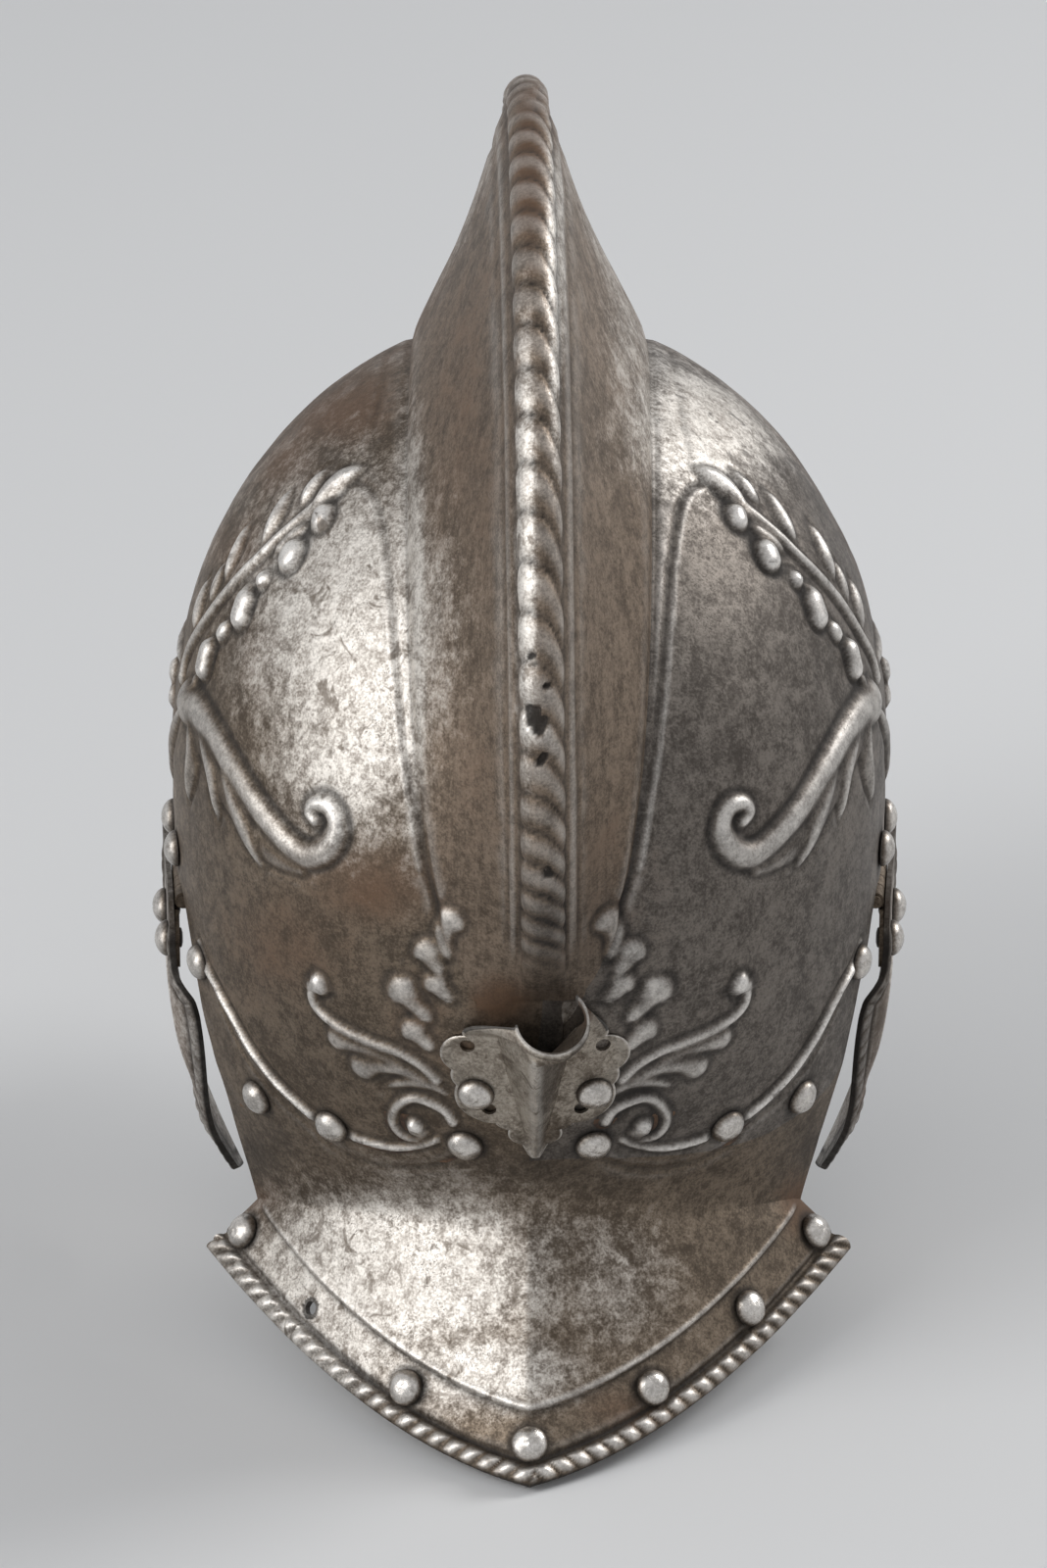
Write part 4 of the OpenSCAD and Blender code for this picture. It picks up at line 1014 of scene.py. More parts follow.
class NodeSheet:
    """A short way to add and join the nodes of one node tree."""

    def __init__(self, tree: Tree) -> None:
        """Starts on an empty tree."""
        self.tree = tree

    def join(self, value: Socket | float | tuple, into: Socket) -> None:
        """Joins an output to an input, or gives the input a plain value."""
        if isinstance(value, (int, float, tuple)):
            into.default_value = value
        else:
            self.tree.links.new(value, into)

    def add(self, kind: str, **values: Socket | float | tuple) -> bpy.types.Node:
        """Adds a node, with sockets or plain values for its named inputs."""
        node = self.tree.nodes.new(kind)
        for label, value in values.items():
            self.join(value, node.inputs[label])
        return node

    def math(self, kind: str, a: Socket | float, b: Socket | float, clamp: bool = False) -> Socket:
        """Adds a calculation with sockets or numbers."""
        node = self.add("ShaderNodeMath")
        node.operation = kind
        node.use_clamp = clamp
        self.join(a, node.inputs[0])
        self.join(b, node.inputs[1])
        return node.outputs[0]

    def plus(self, a: Socket | float, b: Socket | float) -> Socket:
        """Adds a sum, held between 0 and 1."""
        return self.math("ADD", a, b, True)

    def times(self, a: Socket, b: Socket | float, clamp: bool = False) -> Socket:
        """Adds a product."""
        return self.math("MULTIPLY", a, b, clamp)

    def weighted(self, *parts: tuple[Socket, float]) -> Socket:
        """Adds a sum of sockets, each times its own number."""
        total = 0.0
        for socket, weight in parts:
            total = self.math("ADD", self.times(socket, weight), total)
        return total

    def between(self, value: Socket, low: float, high: float) -> Socket:
        """Adds a smooth rise from 0 at low to 1 at high."""
        node = self.add("ShaderNodeMapRange", **{"Value": value, "From Min": low, "From Max": high})
        node.interpolation_type = "SMOOTHSTEP"
        return node.outputs["Result"]

    def blend(self, share: Socket, a: Socket | Color, b: Socket | Color) -> Socket:
        """Adds a blend of two colours, given as sockets or colours."""
        node = self.add("ShaderNodeMix")
        node.data_type = "RGBA"
        node.clamp_factor = True
        colors = [s for s in node.inputs if s.type == "RGBA"]
        for value, socket in ((share, node.inputs[0]), (a, colors[0]), (b, colors[1])):
            self.join(value, socket)
        return next(s for s in node.outputs if s.type == "RGBA")

    def noise(self, scale: float, detail: float, rough: float, place: Socket, warp: float = 0.0) -> Socket:
        """Adds a noise over the given places."""
        node = self.add("ShaderNodeTexNoise", Scale=scale, Detail=detail, Roughness=rough,
                        Distortion=warp, Vector=place)
        return node.outputs[0]

    def stored(self, label: str) -> Socket:
        """Adds the number that the mesh stores under a label."""
        node = self.add("ShaderNodeAttribute")
        node.attribute_name = label
        return node.outputs["Fac"]


def new_group(name: str, inputs: dict[str, object],
              outputs: dict[str, str]) -> tuple[NodeSheet, Sockets, Sockets]:
    """Makes a shader node group with named sockets.

    Args:
        name: name of the group.
        inputs: default value of each input, a number or a colour.
        outputs: socket type of each output.

    Returns:
        The group's sheet, its inputs by name and its outputs by name.
    """
    tree = bpy.data.node_groups.new(name, "ShaderNodeTree")
    for label, value in inputs.items():
        kind = "NodeSocketColor" if isinstance(value, tuple) else "NodeSocketFloat"
        tree.interface.new_socket(label, in_out="INPUT", socket_type=kind).default_value = value
    for label, kind in outputs.items():
        tree.interface.new_socket(label, in_out="OUTPUT", socket_type=kind)
    sheet = NodeSheet(tree)
    return sheet, sheet.add("NodeGroupInput").outputs, sheet.add("NodeGroupOutput").inputs


def patina_group() -> Tree:
    """Makes the aged steel: mottled tones, rust, bright worn places with painted highlights and glints,
    grime and soot with painted shade, brushed streaks and pits."""
    s, given, result = new_group(
        "aged_steel",
        {"Dark": (0.1, 0.085, 0.07, 1), "Middle": (0.22, 0.19, 0.16, 1), "Stain": (0.36, 0.33, 0.3, 1),
         "Bright": (0.8, 0.77, 0.73, 1), "Rust": (0.16, 0.085, 0.045, 1), "Rusting": 1.0, "Streaks": 0.0,
         "Pitting": 1.0, "Shine": 1.0, "Polish": 0.0},
        {"Color": "NodeSocketColor", "Roughness": "NodeSocketFloat", "Metallic": "NodeSocketFloat",
         "Height": "NodeSocketFloat"})
    place = s.add("ShaderNodeTexCoord").outputs["Object"]
    stretch = s.add("ShaderNodeMapping", Scale=(1.0, 0.22, 0.07), Vector=place)
    cloud = s.noise(32, 5, 0.6, place, 0.4)
    blotch = s.noise(100, 6, 0.65, place, 0.5)
    mottle = s.noise(360, 5, 0.65, place, 0.3)
    grain = s.noise(1300, 4, 0.7, place)
    grit = s.noise(2300, 2, 0.6, place)
    streak = s.noise(800, 5, 0.7, stretch.outputs[0], 0.2)
    streaky = s.times(s.between(streak, 0.36, 0.64), given["Streaks"])
    tone = s.weighted((cloud, 0.17), (blotch, 0.26), (mottle, 0.27), (grain, 0.3))
    tone = s.between(tone, 0.42, 0.58)
    tone = s.plus(s.times(tone, 0.8), s.times(streaky, 0.4))
    fine = s.between(s.weighted((blotch, 0.25), (mottle, 0.35), (grain, 0.4)), 0.37, 0.59)
    bright = s.weighted((s.stored("burnish"), 1.3), (blotch, 0.8), (mottle, 0.7), (grain, 0.5))
    bright = s.plus(s.between(bright, 1.2, 2.1), s.times(s.stored("wear"), 0.95))
    bright = s.times(bright, given["Shine"], True)
    rusty = s.weighted((s.stored("rust"), 1.2), (cloud, 0.8), (blotch, 0.8), (mottle, 0.4))
    rusty = s.times(s.between(rusty, 1.12, 2.1), given["Rusting"], True)
    # Soot and grime, which carry painted shade as well.
    dirt_and_shade = s.plus(s.times(s.stored("soot"), 0.9), s.stored("grime_and_shade"))
    spots = s.times(s.between(s.noise(150, 4, 0.6, place, 1.0), 0.57, 0.68), bright)
    pits = s.math("SUBTRACT", 1.0, s.between(grit, 0.32, 0.42))
    pits = s.times(pits, s.between(blotch, 0.5, 0.62))
    pits = s.times(pits, given["Pitting"], True)
    color = s.blend(tone, given["Dark"], given["Middle"])
    color = s.blend(rusty, color, given["Rust"])
    color = s.blend(bright, color, s.blend(fine, given["Stain"], given["Bright"]))
    # Worn raised places go towards near-white: polish, and a painted glint.
    color = s.blend(s.times(s.stored("wear"), 0.6), color, (0.92, 0.89, 0.85, 1))
    color = s.blend(s.times(s.math("SUBTRACT", 1.0, fine), 0.3), color, (0.03, 0.024, 0.02, 1))
    color = s.blend(s.times(spots, 0.75), color, given["Dark"])
    # Near-black where soot, grime and painted shade lie.
    color = s.blend(s.times(dirt_and_shade, 0.9), color, (0.014, 0.011, 0.009, 1))
    color = s.blend(s.times(pits, 0.5), color, (0.03, 0.022, 0.016, 1))
    rough = s.weighted((bright, -0.01), (s.stored("wear"), -0.2), (rusty, 0.1), (dirt_and_shade, 0.2), (fine, -0.05),
                       (given["Polish"], -1.0))
    rough = s.plus(rough, 0.56)
    metal = s.plus(1.0, s.weighted((rusty, -0.5), (dirt_and_shade, -0.6)))
    height = s.weighted((grain, 0.45), (mottle, 0.45), (blotch, 0.25), (pits, -0.7), (streaky, 0.25))
    for socket, label in ((color, "Color"), (rough, "Roughness"), (metal, "Metallic"), (height, "Height")):
        s.join(socket, result[label])
    return s.tree


def leather_group() -> Tree:
    """Makes old leather: a pebbled grain, creases and rubbed, paler places."""
    s, given, result = new_group(
        "old_leather",
        {"Deep": (0.03, 0.014, 0.007, 1), "Worn": (0.16, 0.085, 0.04, 1), "Dryness": 0.6},
        {"Color": "NodeSocketColor", "Roughness": "NodeSocketFloat", "Height": "NodeSocketFloat"})
    place = s.add("ShaderNodeTexCoord").outputs["Object"]
    grain = s.add("ShaderNodeTexVoronoi", Scale=900, Vector=place)
    cloud = s.noise(70, 5, 0.6, place, 0.5)
    crease = s.noise(260, 5, 0.7, place, 1.4)
    dry = s.times(s.between(cloud, 0.45, 0.7), given["Dryness"])
    wear = s.plus(s.stored("wear"), dry)
    color = s.blend(wear, given["Deep"], given["Worn"])
    color = s.blend(s.times(s.between(crease, 0.52, 0.4), 0.5), color, (0.012, 0.006, 0.003, 1))
    s.join(color, result["Color"])
    s.join(s.plus(0.55, s.times(crease, 0.3)), result["Roughness"])
    s.join(s.weighted((grain.outputs["Distance"], 0.6), (crease, 1.0)), result["Height"])
    return s.tree


def group_material(name: str, group: Tree, values: dict[str, object], strength: float,
                   depth: float) -> Material:
    """Builds a material around a node group.

    Args:
        name: name of the material.
        group: the node group, with outputs named as the shader's inputs.
        values: values of the group's inputs.
        strength: strength of the bumps.
        depth: depth of the bumps, in mm.

    Returns:
        The new material.
    """
    mat = bpy.data.materials.new(name)
    mat.use_nodes = True
    s = NodeSheet(mat.node_tree)
    shader = mat.node_tree.nodes["Principled BSDF"]
    surface = s.add("ShaderNodeGroup")
    surface.node_tree = group
    for label, value in values.items():
        s.join(value, surface.inputs[label])
    bump = s.add("ShaderNodeBump", Strength=strength, Distance=depth * MM, Height=surface.outputs["Height"])
    s.join(surface.outputs["Color"], shader.inputs["Base Color"])
    for label in ("Roughness", "Metallic"):
        if label in surface.outputs:
            s.join(surface.outputs[label], shader.inputs[label])
    s.join(bump.outputs["Normal"], shader.inputs["Normal"])
    return mat


@dataclass(frozen=True)
class SteelFinish:
    """One tone of aged steel."""

    name: str
    middle: Color = (0.262, 0.207, 0.155, 1)
    dark: Color = (0.118, 0.092, 0.069, 1)
    stain: Color = (0.4, 0.355, 0.31, 1)
    bright: Color = (0.76, 0.72, 0.665, 1)
    rust: Color = (0.15, 0.088, 0.052, 1)
    rusting: float = 1.0
    streaks: float = 0.0
    pitting: float = 1.0
    shine: float = 1.0
    polish: float = 0.0
    relief: float = 0.55
    relief_mm: float = 0.22

    def material(self, group: Tree) -> Material:
        """Builds the material around the aged steel group."""
        tones = ("Dark", "Middle", "Stain", "Bright", "Rust")
        shares = ("Rusting", "Streaks", "Pitting", "Shine", "Polish")
        values = {label: getattr(self, label.lower()) for label in (*tones, *shares)}
        return group_material(self.name, group, values, self.relief, self.relief_mm)


@dataclass(frozen=True)
class LeatherFinish:
    """Old leather of the lining bands."""

    name: str
    deep: Color = (0.035, 0.017, 0.009, 1)
    worn: Color = (0.17, 0.09, 0.045, 1)
    grain: float = 0.6
    grain_mm: float = 0.3

    def material(self, group: Tree) -> Material:
        """Builds the material around the leather group."""
        values = {"Deep": self.deep, "Worn": self.worn}
        return group_material(self.name, group, values, self.grain, self.grain_mm)


class Finishes:
    """All the materials, each built once."""

    def __init__(self) -> None:
        """Builds the groups and the materials."""
        steel, leather = patina_group(), leather_group()
        self.bowl = SteelFinish("bowl_steel").material(steel)
        # The right half gets a greyer, darker copy of the bowl's steel: painted cooler and dimmer light on
        # that side.
        self.shaded_right_bowl = SteelFinish("right_bowl_shaded_steel", middle=(0.232, 0.205, 0.18, 1),
                                      dark=(0.1, 0.087, 0.076, 1), rusting=0.7).material(steel)
        self.comb = SteelFinish("comb_steel", middle=(0.27, 0.21, 0.16, 1), dark=(0.13, 0.1, 0.075, 1),
                                streaks=1.0, pitting=0.5).material(steel)
        self.neck = SteelFinish("neck_steel", pitting=1.2).material(steel)
        self.holder = SteelFinish("holder_sheet", middle=(0.22, 0.182, 0.143, 1),
                                  stain=(0.28, 0.238, 0.192, 1), bright=(0.45, 0.405, 0.345, 1),
                                  pitting=0.5).material(steel)
        self.cheek = SteelFinish("cheek_steel", middle=(0.19, 0.165, 0.14, 1), shine=0.8).material(steel)
        self.rivet = SteelFinish("rivet_steel", middle=(0.33, 0.29, 0.25, 1), rusting=0.5, pitting=0.8,
                                 polish=0.12).material(steel)
        self.washer = SteelFinish("washer_steel", rusting=1.3, shine=0.5).material(steel)
        self.hinge = SteelFinish("hinge_steel", rusting=0.9).material(steel)
        self.leather = LeatherFinish("lining_leather").material(leather)
        self.thread = LeatherFinish("waxed_thread", deep=(0.2, 0.14, 0.08, 1),
                                    worn=(0.45, 0.36, 0.24, 1)).material(leather)


def settle(obj: Item, material: Material, body: str = HELMET) -> Item:
    """Gives a piece its material and the body that it moves with."""
    obj.data.materials.clear()
    obj.data.materials.append(material)
    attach(obj, body)
    log.info("%s: %d points, moves with %s", obj.name, len(obj.data.vertices), body)
    return obj


@dataclass(frozen=True)
class Rope:
    """The twist of a roped edge or crest. The grooves slant evenly and, with a
    hook, bend down more and more on the negative side."""

    pitch: float
    depth: float
    slant: float
    fullness: float = 0.7
    hook: float = 0.0

    def sink(self, turns: Array, across: Array) -> Array:
        """Works out how deep the twist lies under its own highest line.

        Args:
            turns: way along the edge, in strands.
            across: place across it, with its sign, in mm.

        Returns:
            Depths for all places.
        """
        shift = self.slant * across - self.hook * np.maximum(0, -across) ** 2
        strand = np.mod(turns + shift / self.pitch, 1.0) ** 0.8
        return self.depth * (1 - np.sin(np.pi * strand) ** self.fullness)


@dataclass(frozen=True)
class Gap:
    """A round hole through a sheet."""

    middle: Array
    radius: float

    def cut(self, skin: Skin) -> None:
        """Takes the hole out of a sheet and draws its edge to the outline."""
        middles = skin.outer[1::2, 1::2]
        k = np.argmin(length_of(middles - self.middle))
        i, j = np.unravel_index(k, middles.shape[:2])
        around = skin.outer[max(2 * i - 3, 0) : 2 * i + 6, max(2 * j - 3, 0) : 2 * j + 6]
        axes = axes_at(grid_normals(around)[3, 3])
        flat = (middles - self.middle) @ axes
        near = length_of(middles - self.middle) < 2.5 * self.radius + 2
        gone = near & (np.hypot(flat[..., 0], flat[..., 1]) / self.radius < 0.9)
        gone[i, j] = True
        skin.keep = skin.keep & ~gone
        for grid, step in ((skin.outer, 2), (skin.inner, 1)):
            edge = self._touched(gone, step) & self._touched(skin.keep, step)
            flat = (grid[edge] - self.middle) @ axes
            far = np.maximum(np.hypot(flat[:, 0], flat[:, 1]), 1e-6)
            flat[:, :2] *= (self.radius / far)[:, None]
            grid[edge] = flat @ axes.T + self.middle

    def _touched(self, mask: Array, step: int) -> Array:
        """Returns which grid points belong to a block of the mask."""
        n, m = mask.shape
        out = np.zeros((n * step + 1, m * step + 1), bool)
        for di in range(step + 1):
            for dj in range(step + 1):
                out[di : di + n * step : step, dj : dj + m * step : step] |= mask
        return out


@dataclass(frozen=True)
class RivetSizes:
    """Sizes of a domed rivet."""

    head_r: float = 5.0
    head_h: float = 3.6
    lift: float = 0.2
    shank_r: float = 1.9
    tail_r: float = 2.8
    tail_h: float = 0.8
    steps: int = 15


@dataclass(frozen=True)
class RivetPlace:
    """Where one rivet sits: under the middle of its head, its direction
    outwards and the length of its shank."""

    middle: Array
    out: Array
    grip: float


@dataclass
class Rivets:
    """The rivets of one node: hammered domes on the places of the solids."""

    node: str
    body: str = HELMET
    sizes: RivetSizes = field(default_factory=RivetSizes)
    segments: int = 40

    def __post_init__(self) -> None:
        """Finds the places of the node's rivets."""
        self.places = [self._place(points) for points in self._islands()]

    def _islands(self) -> list[Array]:
        """Returns the points of each separate solid of the node, in mm."""
        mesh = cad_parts[self.node].data
        points = np.zeros(len(mesh.vertices) * 3)
        mesh.vertices.foreach_get("co", points)
        points = points.reshape(-1, 3) / MM
        _, same = np.unique(np.round(points, 2), axis=0, return_inverse=True)
        same = same.ravel()
        edges = np.array([e.vertices[:] for e in mesh.edges])
        label = np.arange(same.max() + 1)
        a, b = same[edges[:, 0]], same[edges[:, 1]]
        while True:
            low = np.minimum(label[a], label[b])
            before = label.copy()
            np.minimum.at(label, a, low)
            np.minimum.at(label, b, low)
            if np.array_equal(before, label):
                break
        own = label[same]
        return [points[own == k] for k in np.unique(own)]

    def _place(self, points: Array) -> RivetPlace:
        """Returns the place of a rivet from its solid's points."""
        unique = np.unique(np.round(points, 2), axis=0)
        centre = unique.mean(0)
        spread, axes = np.linalg.eigh(np.cov((unique - centre).T))
        gaps = [abs(spread[1] - spread[2]), abs(spread[0] - spread[2]), abs(spread[0] - spread[1])]
        out = axes[:, int(np.argmin(gaps))]
        along = (unique - centre) @ out
        low, high = along.min(), along.max()
        base = along[length_of(unique - centre - along[:, None] * out) > self.sizes.head_r - 0.4].mean()
        if high - base > base - low:
            out, low, high = -out, -high, -low
        foot = high - self.sizes.head_h - self.sizes.lift
        return RivetPlace(centre + out * foot, out, foot - low - self.sizes.tail_h)

    def build(self, material: Material) -> Item:
        """Makes all rivets of the node as one piece.

        Args:
            material: what they are made of.

        Returns:
            The piece.
        """
        points, faces, wear, grime_and_shade = [], [], [], []
        for number, place in enumerate(self.places):
            p, f, w, g = self._rivet(place, number)
            base = sum(len(q) for q in points)
            faces += [[base + x for x in face] for face in f]
            points.append(p)
            wear.append(w)
            grime_and_shade.append(g)
        obj = mesh_object(f"{self.node}_domes", np.vstack(points), faces, 50)
        store_values(obj.data, "wear", np.concatenate(wear))
        store_values(obj.data, "grime_and_shade", np.concatenate(grime_and_shade))
        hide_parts(self.node)
        return settle(obj, material, self.body)

    def _rivet(self, place: RivetPlace, number: int) -> tuple[Array, Faces, Array, Array]:
        """Returns the points, faces, wear and darkening of one rivet, whose darkening at the foot is grime
        and painted shade.
        """
        s = self.sizes
        tail = [(s.tail_r * 0.5, -place.grip - s.tail_h), (s.tail_r * 0.85, -place.grip - 0.7 * s.tail_h),
                (s.tail_r, -place.grip - 0.35 * s.tail_h), (s.tail_r - 0.1, -place.grip),
                (s.shank_r, -place.grip)]
        skirt = [(s.shank_r, s.lift), (s.head_r * 0.6, s.lift), (s.head_r - 0.25, s.lift - 0.1),
                 (s.head_r, s.lift + 0.1)]
        head = [(s.head_r * math.cos(a), s.lift + s.head_h * math.sin(a))
                for a in np.linspace(0, math.pi / 2, s.steps)[1:-1]]
        profile = np.array(tail + skirt + head)
        turn = np.linspace(0, 2 * math.pi, self.segments, endpoint=False)
        phase = 2.4 * number + 0.7 * len(self.node)
        r, z = profile[:, :1], profile[:, 1:]
        above = np.clip((z - s.lift) / s.head_h, 0, 1)
        uneven = 1 - above * (0.035 + 0.025 * np.sin(3 * turn + phase) + 0.012 * np.sin(7 * turn + 3 * phase))
        dent = 1 - 0.05 * above * (1 + np.sin(2 * turn + 1.7 * phase)) / 2
        r = r * uneven
        ring = np.stack([r * np.cos(turn), r * np.sin(turn), z * np.ones_like(turn) * dent], -1)
        top = np.array([[0, 0, s.lift + 0.965 * s.head_h]])
        foot = np.array([[0, 0, -place.grip - s.tail_h]])
        local = np.vstack([ring.reshape(-1, 3), foot, top])
        n, m = len(profile), self.segments
        faces = tube_faces(n, m)
        faces += [[n * m, (j + 1) % m, j] for j in range(m)]
        faces += [[n * m + 1, (n - 1) * m + j, (n - 1) * m + (j + 1) % m] for j in range(m)]
        points = local @ axes_at(place.out).T + place.middle
        height = local[:, 2]
        wear = 0.65 * ramp((height - 1.0) / 1.6)
        # Darker towards the foot of the dome: dirt, and painted shade under the head.
        grime_and_shade = 0.85 * (1 - ramp((height - 0.2) / 1.2))
        return points, faces, wear, grime_and_shade


@dataclass
class SkullPlates:
    """The plate of comb, bowl, peak and neck guard, with its chased work,
    roping, dents and holes. It is made as four pieces of surface."""

    grid: SkullGrid
    sheet: PatternSheet
    rivets: list[Rivets]
    crest_rope: Rope = field(default_factory=lambda: Rope(13.0, 1.15, 0.35, 0.55, 0.17))
    crest_end_pitch: float = 8.3
    edge_rope: Rope = field(default_factory=lambda: Rope(5.6, 1.3, 0.9, 0.8))
    edge_half: float = 2.9
    swell_mm: float = 0.3
    seat_r: float = 5.2
    pit_depth: float = 1.3
    crest_line: float = 9.3
    crease_depth: float = 0.9
    line_depth: float = 0.55
    foot_depth: float = 0.5
    groove_gap: float = 0.9
    groove_depth: float = 0.85
    lip_gap: float = 1.2
    lip_h: float = 0.35
    deep_pits: tuple[tuple[Pair, float], ...] = (
        ((545, 735), 3.2), ((553, 776), 1.5), ((560, 892), 1.3), ((541, 668), 0.9), ((560, 700), 1.0))
    lost_rivet: Triple = (58.313, 81.756, -132.748)
    hole_r: float = 2.0
    fold: Triple = (8.9, 116.2, -24.0)
    fold_reach: Pair = (5.0, 6.0)

    def __post_init__(self) -> None:
        """Works out all heights of the outside."""
        self.points, self.normals = self.grid.points, self.grid.normals
        self.form = self.grid.form
        self._lay_out()
        self.relief = Relief(self.points, self.normals, self.sheet)
        for line in (*SWAG, *SCROLL, *LOWER_SCROLL, *LEAF_CLUSTER, *COMB_BAND, *RIB):
            self.relief.chase(line)
        self.height = self._height()

    def _lay_out(self) -> None:
        """Works out where each grid point lies on comb, guard and peak."""
        rows, middle = self.grid.rows, self.grid.cols.last()
        count = rows.total() + 1
        self.angle = np.full(count, OFF_THE_BOWL)
        self.angle[rows.bowl_start() : rows.neck_start() + 1] = self.grid.angles
        self.column = np.abs(np.arange(2 * middle + 1) - middle)
        crest = self.points[:, middle]
        step = length_of(np.diff(crest, axis=0))
        self.crest_side = self.points[..., 0] - crest[:, None, 0]
        pitch = mix(self.crest_end_pitch, self.crest_rope.pitch, ramp((self.angle[1:] + 6) / 45))
        self.crest_turns = np.concatenate([[0], np.cumsum(step / pitch)])[:, None]
        self.comb = np.array([self.form.comb_h(t) if -12 < t < 190 else 0.0 for t in self.angle])[:, None]
        self.guard_d, self.guard_run = self._from_edge(-1, slice(rows.guard_start(), count))
        self.peak_d, self.peak_run = self._from_edge(0, slice(0, rows.bowl_start() + 1))

    def _from_edge(self, edge_row: int, flange: slice) -> tuple[Array, Array]:
        """Returns the distance of a flange's points to its edge, and the way
        along the edge."""
        edge = self.points[edge_row]
        away = np.full(self.points.shape[:2], FAR)
        away[flange] = length_of(self.points[flange] - edge)
        return away, way_along(edge)[None]

    def _height(self) -> Array:
        """Returns the height of the outside over the smooth form."""
        p = self.points
        comb_side = (self.column <= self.grid.cols.foot())[None] & (self.comb > 0)
        swell = lattice_noise(p, 21.0, 1) + 0.4 * lattice_noise(p, 8.0, 2) + 0.16 * lattice_noise(p, 3.4, 3)
        h = self.swell_mm * np.where(comb_side, 0.6, 1.0) * swell + self.relief.height()
        h = h + self._comb_work() + self._guard_work() + self._edge_work(self.peak_d, self.peak_run)
        for place in self._rivet_places():
            d = length_of(p - place)
            seat = 1 - ramp((d - self.seat_r) / 2.0)
            h = mix(h, np.minimum(h, 0.1), seat)
        self.pits = self._pits()
        return h - self.pit_depth * self.pits

    def _rivet_places(self) -> list[Array]:
        """Returns the places of all rivet heads on the skull."""
        return [place.middle for group in self.rivets for place in group.places]

    def _comb_work(self) -> Array:
        """Returns the roping of the crest, its creases and the lines beside it."""
        share = ramp((self.comb - 4) / 10)
        bead = self.grid.cols.bead
        within = self.column[None].astype(float)
        on_bead = 1 - ramp((within - bead + 1.0) / 2.5)
        rope = -self.crest_rope.sink(self.crest_turns, self.crest_side) * on_bead
        rope = rope - self._corrosion() * on_bead
        crease = self.crease_depth * hill(within - bead - 1.0, 1.3)
        line = self.line_depth * hill(np.abs(self.crest_side) - self.crest_line, 0.45)
        foot = self.foot_depth * hill(within - self.grid.cols.foot(), 1.3)
        return share * (rope - crease - line - foot)

    def _corrosion(self) -> Array:
        """Returns how deep the crest is eaten away, most on its right side."""
        eaten = ramp((2.5 - self.crest_side) / 4) * ramp((self.points[:, :1, 1] - 20) / 40)
        eaten = eaten * ramp((self.angle[:, None] + 14) / 10)
        rough = 0.5 * lattice_noise(self.points, 3.1, 11) + 0.5 * lattice_noise(self.points, 1.5, 12)
        return eaten * (0.35 + 0.75 * np.abs(rough))

    def _pits(self) -> Array:
        """Returns the shares of the deep, ragged rust pits in the crest."""
        total = np.zeros(self.points.shape[:2])
        for point, radius in self.deep_pits:
            away = self.points - self.relief.place(point)
            far = length_of(away)
            turn = np.arctan2(away[..., 2], away[..., 0])
            ragged = 1 + 0.28 * np.sin(2 * turn + point[1]) + 0.16 * np.sin(5 * turn + point[0])
            total = np.maximum(total, 1 - ramp((far / (radius * ragged) - 0.8) / 0.4))
        return total

    def _guard_work(self) -> Array:
        """Returns the neck guard's raised field and its turned, roped edge."""
        run = length_of(self.grid.guard_edge - self.grid.nape)
        run = np.concatenate([run[:0:-1], run])[None]
        share = ramp((run - self.form.border_w - 1) / 6)
        rows = self.grid.rows
        rise = np.zeros((rows.total() + 1, 1))
        rise[rows.neck_start() : rows.guard_start() + 1, 0] = np.linspace(0, 0.5, rows.bend + 1)
        rise[rows.guard_start() :, 0] = np.minimum(1, 0.5 + np.arange(rows.guard + 1) / 30)
        field_h = self.form.border_step * share * rise * ramp((self.guard_d - self.form.border_w + 0.5) / 1.0)
        lip = self.lip_h * share * hill(self.guard_d - self.form.border_w - self.lip_gap, 0.9) * (rise > 0)
        return field_h + lip + self._edge_work(self.guard_d, self.guard_run)

    def _edge_work(self, d: Array, run: Array) -> Array:
        """Returns a turned and roped edge with a groove inside it."""
        r = self.edge_half
        rounding = dome((d - r) / r)
        side = np.where(self.points[..., 0] >= 0, 1.0, -1.0)
        rope = self.edge_rope.sink(run * side / self.edge_rope.pitch, d) * rounding
        groove = self.groove_depth * hill(d - 2 * r - self.groove_gap, 0.9)
        return 0.8 * self.form.edge_r * rounding - rope - groove

    def _values(self) -> dict[str, Array]:
        """Returns what the material reads: wear, grime with painted shade, and tints with painted highlights
        and painted shade.
        """
        h = self.height
        soft = blurred(h, 18)
        wear = np.clip((h - soft) * 1.0 - 0.05, 0, 1)
        # The hollows of the relief darken: partly grime, partly painted shade.
        grime_and_shade = np.clip((soft - h) * 1.3 - 0.05, 0, 1)
        # A dark ring round each rivet head and a dark line in the guard's groove: painted shade, partly dirt.
        for place in self._rivet_places():
            d = length_of(self.points - place)
            grime_and_shade = np.maximum(grime_and_shade, 0.75 * hill(d - 5.0, 1.5))
        groove = 2 * self.edge_half + 1.2
        grime_and_shade = np.maximum(grime_and_shade, 0.6 * hill(self.guard_d - groove, 1.5))
        values = tints(self.sheet, self.points, self.normals)
        crest = np.clip(self._corrosion() * 1.1, 0, 0.85) * (self.column[None] <= self.grid.cols.bead)
        # The walls round the lost rivet's hole are painted dark: painted shade.
        hole = length_of(self.points - np.array(self.lost_rivet))
        crest = np.maximum(crest, 0.9 * (hole < self.hole_r + 1.2))
        # The deep pits are painted dark: rust, and the painted shade of the holes they stand for.
        values["soot"] = np.maximum(np.maximum(values["soot"], crest), self.pits)
        values["rust"] = values["rust"] * (1 - self.pits)
        values["wear"] = wear * (1 - self.pits)
        values["grime_and_shade"] = np.maximum(grime_and_shade, self.pits)
        return values

